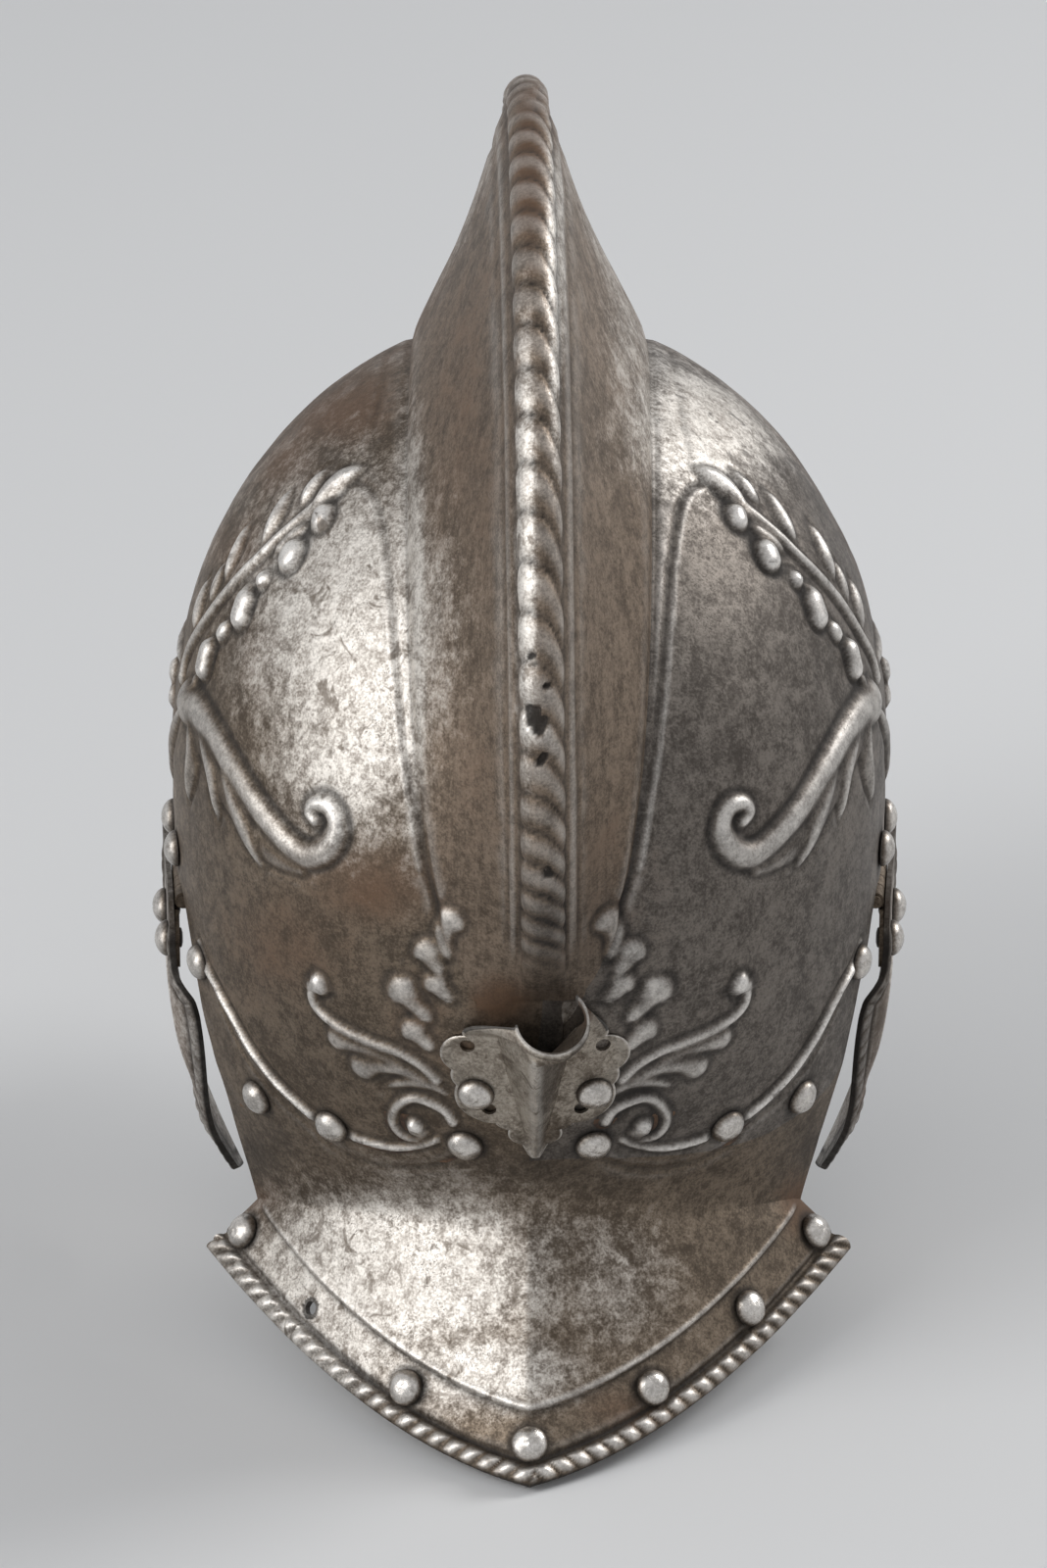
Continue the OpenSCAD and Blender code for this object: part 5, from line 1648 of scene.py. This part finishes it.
    def build(self, finishes: Finishes) -> list[Item]:
        """Makes the four pieces of the plate.

        Args:
            finishes: the materials.

        Returns:
            The pieces.
        """
        outer = self.points + self.normals * self.height[..., None]
        inwards = np.minimum(self.guard_d, self.peak_d) - self.form.edge_r
        turned = np.maximum(0, 1 - (inwards / self.form.edge_r) ** 2)
        depth = self.form.plate + 0.5 * self.form.edge_r * turned
        inner = (self.points - self.normals * depth[..., None])[::2, ::2].copy()
        for side in (-1, 1):
            fold = np.array([side * self.fold[0], *self.fold[1:]])
            relaxed(outer, fold, self.fold_reach[0])
            relaxed(inner, fold, self.fold_reach[1])
        rows, cols = self.grid.rows, self.grid.cols
        n, m = rows.total() // 2, cols.last()
        i, j = np.arange(n)[:, None], np.arange(m)[None]
        angle = self.angle[1::2, None]
        comb = (angle > -self.form.comb_back_end) & (angle < 180 + self.form.comb_front_end)
        comb = comb & (np.abs(2 * j + 1 - cols.last()) < cols.foot())
        neck = (2 * i >= rows.neck_start()) & (j >= 0)
        skin = Skin(outer, inner, np.ones((n, m), bool), self._values())
        Gap(np.array(self.lost_rivet), self.hole_r).cut(skin)
        left = np.broadcast_to(2 * j + 1 > cols.last(), comb.shape)
        bowl = ~comb & ~neck
        made = []
        for name, mask, material in (
                ("comb_plate", comb, finishes.comb),
                ("left_bowl_plate", bowl & left, finishes.bowl),
                ("right_bowl_plate", bowl & ~left, finishes.shaded_right_bowl),
                ("neck_guard_plate", neck, finishes.neck)):
            piece = Skin(skin.outer, skin.inner, skin.keep & mask, skin.values).build(name)
            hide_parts("skull")
            made.append(settle(piece, material))
        return made


@dataclass(frozen=True)
class HolderSizes:
    """Sizes of the plume holder."""

    tube_r: float = 8.2
    sheet: float = 1.0
    top_z: float = 22.0
    length: float = 52.0
    lip_drop: float = 9.5
    tube_open: float = 105.0
    tube_share: float = 0.22
    tube_twist: float = 25.0
    middle_x: float = -1.5
    mouth_x: float = -3.8
    fold_reach: float = 11.0
    gap: float = 0.35
    notch_r: float = 2.0
    notches: tuple[Pair, ...] = ((17.5, 36.6), (12.0, 57.5))
    lobes: tuple[Triple, ...] = (
        (6.5, 4.0, 6.0), (13, 8.5, 6.5), (18.5, 18, 6.2), (17, 25, 5), (12, 31.5, 9), (7, 38.5, 4),
        (3.5, 44, 3.5))
    point_half: float = 1.3


@dataclass
class PlumeHolder:
    """The sheet on the nape: a tube at its mouth, a crease below it and lobes
    along its outline."""

    form: SkullForm
    sizes: HolderSizes = field(default_factory=HolderSizes)
    rows: int = 150
    half_cols: int = 52

    def outline(self, level: Array) -> Array:
        """Returns half the holder's width at levels under its mouth."""
        s = self.sizes
        wide = np.full(level.shape, s.point_half)
        for x, at, r in s.lobes:
            inside = np.maximum(0, r**2 - (level - at) ** 2)
            wide = np.maximum(wide, np.where(inside > 0, x + np.sqrt(inside), 0))
        tail = mix(5.0, s.point_half, np.clip((level - 44) / (s.length - 44), 0, 1))
        return np.maximum(wide, np.where(level > 40, tail, 0))

    def build(self, material: Material) -> Item:
        """Makes the holder's sheet."""
        s, form = self.sizes, self.form
        share = np.linspace(0, 1, self.rows + 1)[:, None]
        turn = np.linspace(-1, 1, 2 * self.half_cols + 1)[None]
        f, side = np.abs(turn), np.sign(turn)
        flat = ramp(share / s.tube_share)
        angle = np.radians(side * s.tube_open * f - s.tube_twist)
        wing = self.outline(share * s.length) * f
        crease = 2 * s.tube_r * (1 - share)
        fold = crease * np.maximum(0, 1 - wing / (s.fold_reach * (1 - share) + 0.5))
        x = s.middle_x + mix(s.mouth_x + s.tube_r * np.sin(angle), side * wing, flat)
        off = mix(s.tube_r * (1 + np.cos(angle)), fold, flat)
        z = -s.top_z - s.length * share - s.lip_drop * (off / (2 * s.tube_r) - 0.5) * (1 - flat)
        base = form.back_wall(x, z) + (off + s.gap)[..., None] * form.back_normal(x, z)
        base = base[:, ::-1]
        normals = grid_normals(base)
        if np.sum(normals[self.rows // 2, :, 1]) < 0:
            normals = -normals
        dents = 0.16 * lattice_noise(base, 7.0, 21) + 0.08 * lattice_noise(base, 2.6, 22)
        edge = np.minimum((1 - f[:, ::-1]) * np.maximum(wing.max(1, keepdims=True), 4), share * s.length)
        bevel = 0.45 * (1 - ramp(edge / 1.1))
        outer = base + normals * (s.sheet + dents - bevel)[..., None]
        inner = base[::2, ::2].copy()
        keep = np.ones((self.rows // 2, self.half_cols), bool)
        ridge = np.exp(-((off[:, ::-1] - fold.max(1, keepdims=True)) ** 2) / 1.2) * (flat > 0.9)
        upper = 1 - ramp((share * s.length - 3) / 9)
        # The inside of the tube is painted dark: painted shade.
        turned_in = 0.45 * (side[:, ::-1] < 0) * ramp((off[:, ::-1] - 1) / 4)
        values = {
            "wear": np.clip(0.8 * (1 - ramp(edge / 0.9)) + 0.5 * ridge, 0, 1),
            "grime_and_shade": 0.225 * hill(edge - 2.2, 1.2),
            "rust": np.clip(0.75 * upper * ramp((f[:, ::-1] - 0.35) / 0.4) + 0.1, 0, 1),
            # Brightness varies at random, and one side is painted lighter than the other: a painted
            # highlight.
            "burnish": np.clip(0.55 + 0.45 * lattice_noise(base, 14.0, 23) - 0.2 * side, 0, 1),
            # Dark also along the tube's end edge: painted shade over a glint.
            "soot": np.clip(turned_in + (f[:, ::-1] > 0.95) * (share < 0.2), 0, 1),
        }
        skin = Skin(outer, inner, keep, values)
        for sign in (-1, 1):
            for across, depth in s.notches:
                place = form.back_wall(np.array(s.middle_x + sign * across), np.array(-depth))
                out = form.back_normal(np.array(s.middle_x + sign * across), np.array(-depth))
                Gap(place + out * s.gap, s.notch_r).cut(skin)
        obj = skin.build("plume_holder_sheet")
        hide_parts("plume_holder")
        return settle(obj, material)


@dataclass(frozen=True)
class CheekSizes:
    """Sizes of a cheekpiece, in the frame of its hinge."""

    hinge: Triple = (94.8464, 10.0, -38.0)
    yaw: float = 4.0
    hinge_len: float = 30.0
    inside: float = 2.7
    plate: float = 1.5
    length: float = 92.0
    turn_in: float = 22.0
    back: float = 20.0
    front: float = 36.0
    boss_h: float = 1.5
    boss_r: float = 19.0
    boss: Pair = (-6.0, -44.16)
    flat_h: float = 20.0
    hole_r: float = 2.1
    hole_ring: float = 10.0
    balls: int = 12
    ball_ring: float = 15.2
    ball_r: float = 1.7
    ball_h: float = 0.5
    rim_r: float = 1.7
    rim_h: float = 0.7
    border: float = 4.6
    seat_r: float = 5.3
    rivets_y: float = 10.0
    rivets_z: float = 13.5


@dataclass
class Cheekpiece:
    """One cheekpiece: a plate with a roped border, a boss with ear holes and a
    chased line round it."""

    side: str
    sizes: CheekSizes = field(default_factory=CheekSizes)
    rope: Rope = field(default_factory=lambda: Rope(4.6, 0.4, 0.8, 0.9))
    cells: int = 152

    def flat_place(self, s: Array, t: Array) -> Array:
        """Lays the plate out flat.

        Args:
            s: shares of its width, from the front.
            t: shares of its length, from the hinge.

        Returns:
            y and z of each place in the hinge's frame.
        """
        c = self.sizes
        chin, heel = np.array([-c.front - 10, -c.length * 0.78]), np.array([8.0, -c.length * 0.935])
        chin_pull = np.array([-32.0, -c.length * 1.13])
        fore_pull = np.array([-c.front + 7, -c.length * 0.42])
        aft_pull = np.array([c.back + 20, -c.length * 0.4])

        def upper(q: Array) -> Array:
            """Returns places along the plate's upper edge."""
            y = mix(-c.front, c.back, q)
            drop = 3.5 * ramp((y - c.hinge_len / 2) / (c.back - c.hinge_len / 2))
            return np.stack([y, 0.8 - drop], -1)

        s3, t3 = s[..., None], t[..., None]
        lower = bezier2(chin, chin_pull, heel, s3)
        fore = bezier2(upper(np.zeros_like(t)), fore_pull, chin, t3)
        aft = bezier2(upper(np.ones_like(t)), aft_pull, heel, t3)
        aft = aft - np.stack([6.0 * ramp(t / 0.15) * ramp((0.3 - t) / 0.08), np.zeros_like(t)], -1)
        corners = mix(mix(upper(np.zeros_like(s)), upper(np.ones_like(s)), s3), mix(chin, heel, s3), t3)
        return mix(fore, aft, s3) + mix(upper(s), lower, t3) - corners

    def bulge(self, y: Array, z: Array) -> Array:
        """Works out the plate's form.

        Args:
            y: places along the hinge.
            z: their heights against the hinge.

        Returns:
            How far the plate stands outwards there.
        """
        c = self.sizes
        down = np.maximum(0, -z - c.flat_h) / (c.length - c.flat_h)
        low = ramp(-z / 30)
        ring = np.hypot(y - c.boss[0], z - c.boss[1]) / c.boss_r
        heel_bend = low * 10.5 * (np.maximum(0, y - 15) / 17) ** 2
        front_bend = low * 2 * (np.maximum(0, -y - 16) / 30) ** 2
        turned = c.turn_in * down**1.6 * (1 - 0.5 * ramp(-y / c.front))
        return 2.6 * down - turned - heel_bend - front_bend + c.boss_h * np.maximum(0, 1 - ring * ring) ** 1.5

    def in_frame(self, p: Array) -> Array:
        """Returns places of the hinge's frame as places of the row frame."""
        c = self.sizes
        a = math.radians(c.yaw)
        turn = np.array([[math.cos(a), math.sin(a), 0], [-math.sin(a), math.cos(a), 0], [0, 0, 1]])
        left = p @ turn + np.array(c.hinge)
        return left if self.side == "left" else flipped(left)

    def build(self, material: Material) -> Item:
        """Makes the plate of the cheekpiece."""
        c = self.sizes
        shares = np.linspace(0, 1, self.cells + 1)
        t, s = np.meshgrid(shares, shares, indexing="ij")
        flat = self.flat_place(1 - s, t)
        local = np.stack([c.inside + self.bulge(flat[..., 0], flat[..., 1]), flat[..., 0], flat[..., 1]], -1)
        edge, run = self._edge(local)
        h = self._work(local, flat, edge, run)
        place = self.in_frame(local)
        if self.side == "right":
            place, h, edge = place[:, ::-1], h[:, ::-1], edge[:, ::-1]
        out = grid_normals(place)
        if np.sum(out[..., 0] * np.sign(place[..., 0])) < 0:
            out = -out
        soft = blurred(h, 6)
        # The hollows darken, partly as painted shade, and the plate grows darker towards its edge.
        values = {
            "wear": np.clip((h - soft) * 1.5, 0, 1),
            "grime_and_shade": np.clip((soft - h) * 2.0, 0, 1),
            "rust": np.clip(0.45 + 0.5 * lattice_noise(place, 24.0, 33), 0, 1),
            "burnish": np.clip(0.4 + 0.4 * lattice_noise(place, 30.0, 34), 0, 1),
            "soot": np.clip(0.55 * (1 - ramp((edge - 3) / 6)), 0, 1),
        }
        outer = place + out * (c.plate + h)[..., None]
        skin = Skin(outer, place[::2, ::2].copy(), np.ones((self.cells // 2, self.cells // 2), bool), values)
        ring_at = [(c.hole_ring * math.cos(a), c.hole_ring * math.sin(a))
                   for a in np.radians(np.arange(0, 360, 60))]
        for dz, dy in ((0.0, 0.0), *ring_at):
            y, z = c.boss[0] + dy, c.boss[1] + dz
            middle = np.array([c.inside + float(self.bulge(np.array(y), np.array(z))) + c.plate / 2, y, z])
            Gap(self.in_frame(middle), c.hole_r).cut(skin)
        obj = skin.build(f"{self.side}_cheek_plate")
        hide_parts(f"{self.side}_cheekpiece")
        return settle(obj, material, f"{self.side}_cheek")

    def _edge(self, local: Array) -> tuple[Array, Array]:
        """Returns each place's distance to the plate's edge, and the way along
        the edge at its nearest point."""
        rim = np.concatenate([local[:, 0], local[-1, 1:], local[-2::-1, -1], local[0, -2:0:-1]])
        best, number = nearest(local.reshape(-1, 3), rim)
        return best.reshape(local.shape[:2]), way_along(rim)[number].reshape(local.shape[:2])

    def _work(self, local: Array, flat: Array, edge: Array, run: Array) -> Array:
        """Works out the hammering, the roped border and the rings of the boss.

        Args:
            local: places of the plate.
            flat: their y and z in the hinge's frame.
            edge: their distance to the plate's edge.
            run: the way along the edge at its nearest point.

        Returns:
            Heights over the smooth plate.
        """
        c = self.sizes
        h = 0.16 * lattice_noise(local, 12.0, 31) + 0.1 * lattice_noise(local, 5.0, 32)
        free = ramp((-local[..., 2] - 5) / 5)
        bead = dome((edge - c.rim_r) / c.rim_r) * free
        h = h + bead * (c.rim_h - self.rope.sink(run / self.rope.pitch, edge))
        h = h - free * 0.4 * hill(edge - c.border, 0.55)
        y, z = flat[..., 0] - c.boss[0], flat[..., 1] - c.boss[1]
        ring = np.hypot(y, z)
        h = h + 0.7 * hill(ring - c.boss_r, 1.0) - 0.35 * hill(ring - c.boss_r - 2.1, 0.7)
        for k in range(c.balls):
            a = 2 * math.pi * (k + 0.5) / c.balls
            ball = np.hypot(y - c.ball_ring * math.cos(a), z - c.ball_ring * math.sin(a))
            h = h + c.ball_h * dome(ball / c.ball_r)
        for sign in (-1, 1):
            d = np.hypot(flat[..., 0] - sign * c.rivets_y, flat[..., 1] + c.rivets_z)
            h = mix(h, np.minimum(h, 0.0), 1 - ramp((d - c.seat_r) / 2))
        return h


@dataclass
class LiningBand:
    """A leather band inside the plate that carried the lining, with stitches
    along both edges."""

    form: SkullForm
    name: str
    front: bool
    end: float
    node: str
    width: float = 17.0
    thick: float = 1.6
    gap: float = 0.45
    across_cells: int = 16
    stitch_pitch: float = 5.0
    stitch_inset: float = 2.4
    level: float = 71.8
    sink: float = 5.5
    turn: float = 52.0
    brow_level: float = 18.0

    def _per_degree(self) -> float:
        """Returns the length of one degree of the band, in mm."""
        return self.form.half_w * math.pi / 180

    def _wall(self, a: Array, across: Array) -> tuple[Array, Array]:
        """Returns the wall's places and normals along and across the band."""
        if self.front:
            z = -self.brow_level + across
            x = -self.form.half_x(z) * np.sin(np.radians(a))
            return self.form.front_wall(x, z), self.form.front_normal(x, z)

        def middle(q: Array) -> Array:
            """Returns the level of the band's middle line."""
            return -self.level - self.sink * ramp(np.abs(q) / self.turn)

        rise = (middle(a + 1) - middle(a - 1)) / 2
        run = self._per_degree()
        size = np.hypot(run, rise)
        z = middle(a) + run / size * across
        x = self.form.half_x(z) * np.sin(np.radians(a - rise / size * across / run))
        return self.form.back_wall(x, z), self.form.back_normal(x, z)

    def build(self, leather: Material, thread: Material) -> list[Item]:
        """Makes the band and its stitching.

        Args:
            leather: material of the band.
            thread: material of the stitching.

        Returns:
            The band and the stitching.
        """
        length = 2 * self.end * self._per_degree()
        cells = int(length / 1.1) // 2 * 2
        a = np.linspace(-self.end, self.end, cells + 1)[None]
        across = np.linspace(-self.width / 2, self.width / 2, self.across_cells + 1)[:, None]
        a, across = np.broadcast_arrays(a, across)
        wall, out = self._wall(a, across)
        worn = 0.35 * lattice_noise(wall, 6.0, 41) + 0.2 * lattice_noise(wall, 2.4, 42)
        edge = self.width / 2 - np.abs(across)
        edge = np.minimum(edge, (self.end - np.abs(a)) * self._per_degree())
        roll = 0.5 * (1 - ramp(edge / 1.4))
        seam = 0.35 * hill(edge - self.stitch_inset, 0.6)
        depth = self.gap + self.thick - roll - seam + 0.3 * np.minimum(0, worn)
        face = wall - out * depth[..., None]
        back = wall - out * self.gap
        if grid_normals(face)[2, 2] @ out[2, 2] > 0:
            face, back, edge, worn = face[:, ::-1], back[:, ::-1], edge[:, ::-1], worn[:, ::-1]
        values = {"wear": np.clip(0.6 * (1 - ramp(edge / 1.5)) + 0.4 * np.maximum(0, worn), 0, 1)}
        keep = np.ones((self.across_cells // 2, cells // 2), bool)
        band = Skin(face, back[::2, ::2].copy(), keep, values).build(self.name)
        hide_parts(self.node)
        return [settle(band, leather), self._stitches(thread, length)]

    def _stitches(self, thread: Material, length: float) -> Item:
        """Makes the stitches along both edges of the band."""
        count = int(length / self.stitch_pitch)
        points, faces = [], []
        rings, around = 7, 8
        for sign in (-1, 1):
            for k in range(1, count):
                a = np.array([-self.end + 2 * self.end * (k + q) / count for q in (-0.3, 0.3)])
                wall, out = self._wall(a, np.full(2, sign * (self.width / 2 - self.stitch_inset)))
                mid = wall - out * (self.gap + self.thick - 0.1)
                along = unit(mid[1] - mid[0])
                axes = np.stack([np.cross(out[0], along), out[0]])
                base = sum(len(q) for q in points)
                f = np.linspace(0, 1, rings)
                radius = 0.42 * np.sin(np.pi * np.clip(f, 0.08, 0.92)) ** 0.5
                turn = np.linspace(0, 2 * math.pi, around, endpoint=False)
                ring = np.stack([np.cos(turn), np.sin(turn)], 1) @ axes
                centre = mix(mid[0], mid[1], f[:, None]) - out[0] * (0.35 * np.sin(np.pi * f))[:, None]
                points.append((centre[:, None] + ring[None] * radius[:, None, None]).reshape(-1, 3))
                faces += tube_faces(rings, around, base)
                faces += [[base + j for j in range(around)][::-1],
                          [base + (rings - 1) * around + j for j in range(around)]]
        obj = mesh_object(f"{self.name}_stitching", np.vstack(points), faces, 60)
        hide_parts(self.node)
        return settle(obj, thread)


def aimed(name: str, data: bpy.types.ID, place: Triple | Array) -> Item:
    """Places a lamp or a camera so that it looks at the middle of the scene."""
    obj = bpy.data.objects.new(name, data)
    obj.location = place
    obj.rotation_euler = Vector(place).to_track_quat("Z", "Y").to_euler()
    bpy.context.scene.collection.objects.link(obj)
    return obj


@dataclass(frozen=True)
class Softbox:
    """One soft lamp, with its place and size in metres."""

    name: str
    place: Triple
    size: Pair
    watts: float

    def build(self) -> Item:
        """Makes the lamp, aimed at the middle of the scene."""
        light = bpy.data.lights.new(self.name, "AREA")
        light.shape = "RECTANGLE"
        light.size, light.size_y = self.size
        light.energy = self.watts
        return aimed(self.name, light, self.place)


@dataclass
class Studio:
    """Camera, lamps, floor and background, with places in metres."""

    sheet: PatternSheet
    photo_size: tuple[int, int] = (1068, 1600)
    floor_z: float = -0.1556
    lamps: tuple[Softbox, ...] = (
        Softbox("key_light", (1.5, 1.3, 1.7), (1.3, 1.3), 15),
        Softbox("side_light", (2.1, 1.0, 0.6), (1.4, 2.1), 20),
        Softbox("right_light", (-1.7, -0.7, 1.3), (0.8, 0.8), 22),
    )
    sensor_mm: float = 36
    floor_half: float = 6.0
    floor_color: Color = (0.78, 0.78, 0.78, 1)
    sky_color: Color = (0.75, 0.77, 0.8, 1)
    sky_strength: float = 0.45
    seen_color: Color = (0.66, 0.67, 0.69, 1)

    def build(self) -> None:
        """Makes the whole studio."""
        self._camera()
        for lamp in self.lamps:
            lamp.build()
        self._floor()
        self._background()

    def _camera(self) -> None:
        """Places the camera at the photograph's viewing angle."""
        width, height = self.photo_size
        data = bpy.data.cameras.new("view_from_behind")
        data.sensor_fit = "AUTO"
        data.sensor_width = self.sensor_mm
        data.lens = self.sensor_mm * self.sheet.steps_per_mm * self.sheet.distance / height
        data.shift_x = -(self.sheet.middle[0] - width / 2) / height
        data.shift_y = (self.sheet.middle[1] - height / 2) / height
        place = self.sheet.toward() * self.sheet.distance * MM
        bpy.context.scene.camera = aimed("view_from_behind", data, place)

    def _pale(self, tree: Tree, into: Socket, lit: Socket) -> None:
        """Shows a pale colour to the camera and to mirrors, and keeps the
        other rays on the given shader."""
        s = NodeSheet(tree)
        path = s.add("ShaderNodeLightPath").outputs
        seen = s.math("MAXIMUM", path["Is Camera Ray"], path["Is Transmission Ray"])
        seen = s.math("MAXIMUM", seen, path["Is Glossy Ray"])
        plain = s.add("ShaderNodeBackground", Color=self.seen_color)
        blend = s.add("ShaderNodeMixShader")
        for socket, end in zip((seen, lit, plain.outputs[0]), blend.inputs):
            s.join(socket, end)
        s.join(blend.outputs[0], into)

    def _floor(self) -> None:
        """Makes the pale floor."""
        mesh = bpy.data.meshes.new("studio_floor")
        corners = [(-1, -1), (1, -1), (1, 1), (-1, 1)]
        mesh.from_pydata([(self.floor_half * x, self.floor_half * y, self.floor_z) for x, y in corners],
                         [], [(0, 1, 2, 3)])
        obj = link_mesh("studio_floor", mesh)
        mat = bpy.data.materials.new("studio_floor")
        mat.use_nodes = True
        shader = mat.node_tree.nodes["Principled BSDF"]
        shader.inputs["Base Color"].default_value = self.floor_color
        shader.inputs["Roughness"].default_value = 0.9
        obj.data.materials.append(mat)

    def _background(self) -> None:
        """Makes the pale background."""
        world = bpy.data.worlds.new("studio")
        world.use_nodes = True
        bpy.context.scene.world = world
        tree = world.node_tree
        soft = tree.nodes["Background"]
        soft.inputs["Color"].default_value = self.sky_color
        soft.inputs["Strength"].default_value = self.sky_strength
        output = next(n for n in tree.nodes if n.type == "OUTPUT_WORLD")
        self._pale(tree, output.inputs["Surface"], soft.outputs[0])


@dataclass(frozen=True)
class PlainNodes:
    """The nodes whose solids are shown as they are, with their materials."""

    washers: tuple[str, ...] = ("nape_lining_washers", "brow_lining_washers", "neck_guard_washers")
    hinge_parts: tuple[str, ...] = ("skull_hinge_leaf", "cheek_hinge_leaf", "hinge_pin")

    def dress(self, finishes: Finishes) -> None:
        """Gives the nodes their materials."""
        for name in self.washers:
            self._paint(name, finishes.washer)
        for side in SIDES:
            for part in self.hinge_parts:
                self._paint(f"{side}_{part}", finishes.hinge)

    def _paint(self, name: str, material: Material) -> None:
        """Gives one node a material."""
        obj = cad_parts[name]
        if not obj.material_slots:
            obj.data.materials.append(material)
        for slot in obj.material_slots:
            slot.material = material
        log.info("%s: dressed", name)


def main() -> None:
    """Dresses the frame and sets up the studio."""
    logging.basicConfig(level=logging.INFO, format="%(message)s")
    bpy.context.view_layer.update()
    bpy.context.scene.view_settings.view_transform = "Standard"
    finishes = Finishes()
    sheet = PatternSheet()
    on_skull = [Rivets(name) for name in (
        "nape_lining_rivets", "brow_lining_rivets", "neck_guard_rivets",
        "left_skull_hinge_rivets", "right_skull_hinge_rivets")]
    on_cheeks = [Rivets(f"{side}_cheek_hinge_rivets", f"{side}_cheek") for side in SIDES]
    grid = SkullGrid()
    SkullPlates(grid, sheet, on_skull).build(finishes)
    for group in (*on_skull, Rivets("plume_holder_rivets"), *on_cheeks):
        group.build(finishes.rivet)
    PlumeHolder(grid.form).build(finishes.holder)
    for side in SIDES:
        Cheekpiece(side).build(finishes.cheek)
    for band in (LiningBand(grid.form, "nape_band", False, 56.0, "nape_lining_band"),
                 LiningBand(grid.form, "brow_band", True, 58.0, "brow_lining_band")):
        band.build(finishes.leather, finishes.thread)
    PlainNodes().dress(finishes)
    Studio(sheet).build()


if __name__ == "__main__":
    main()
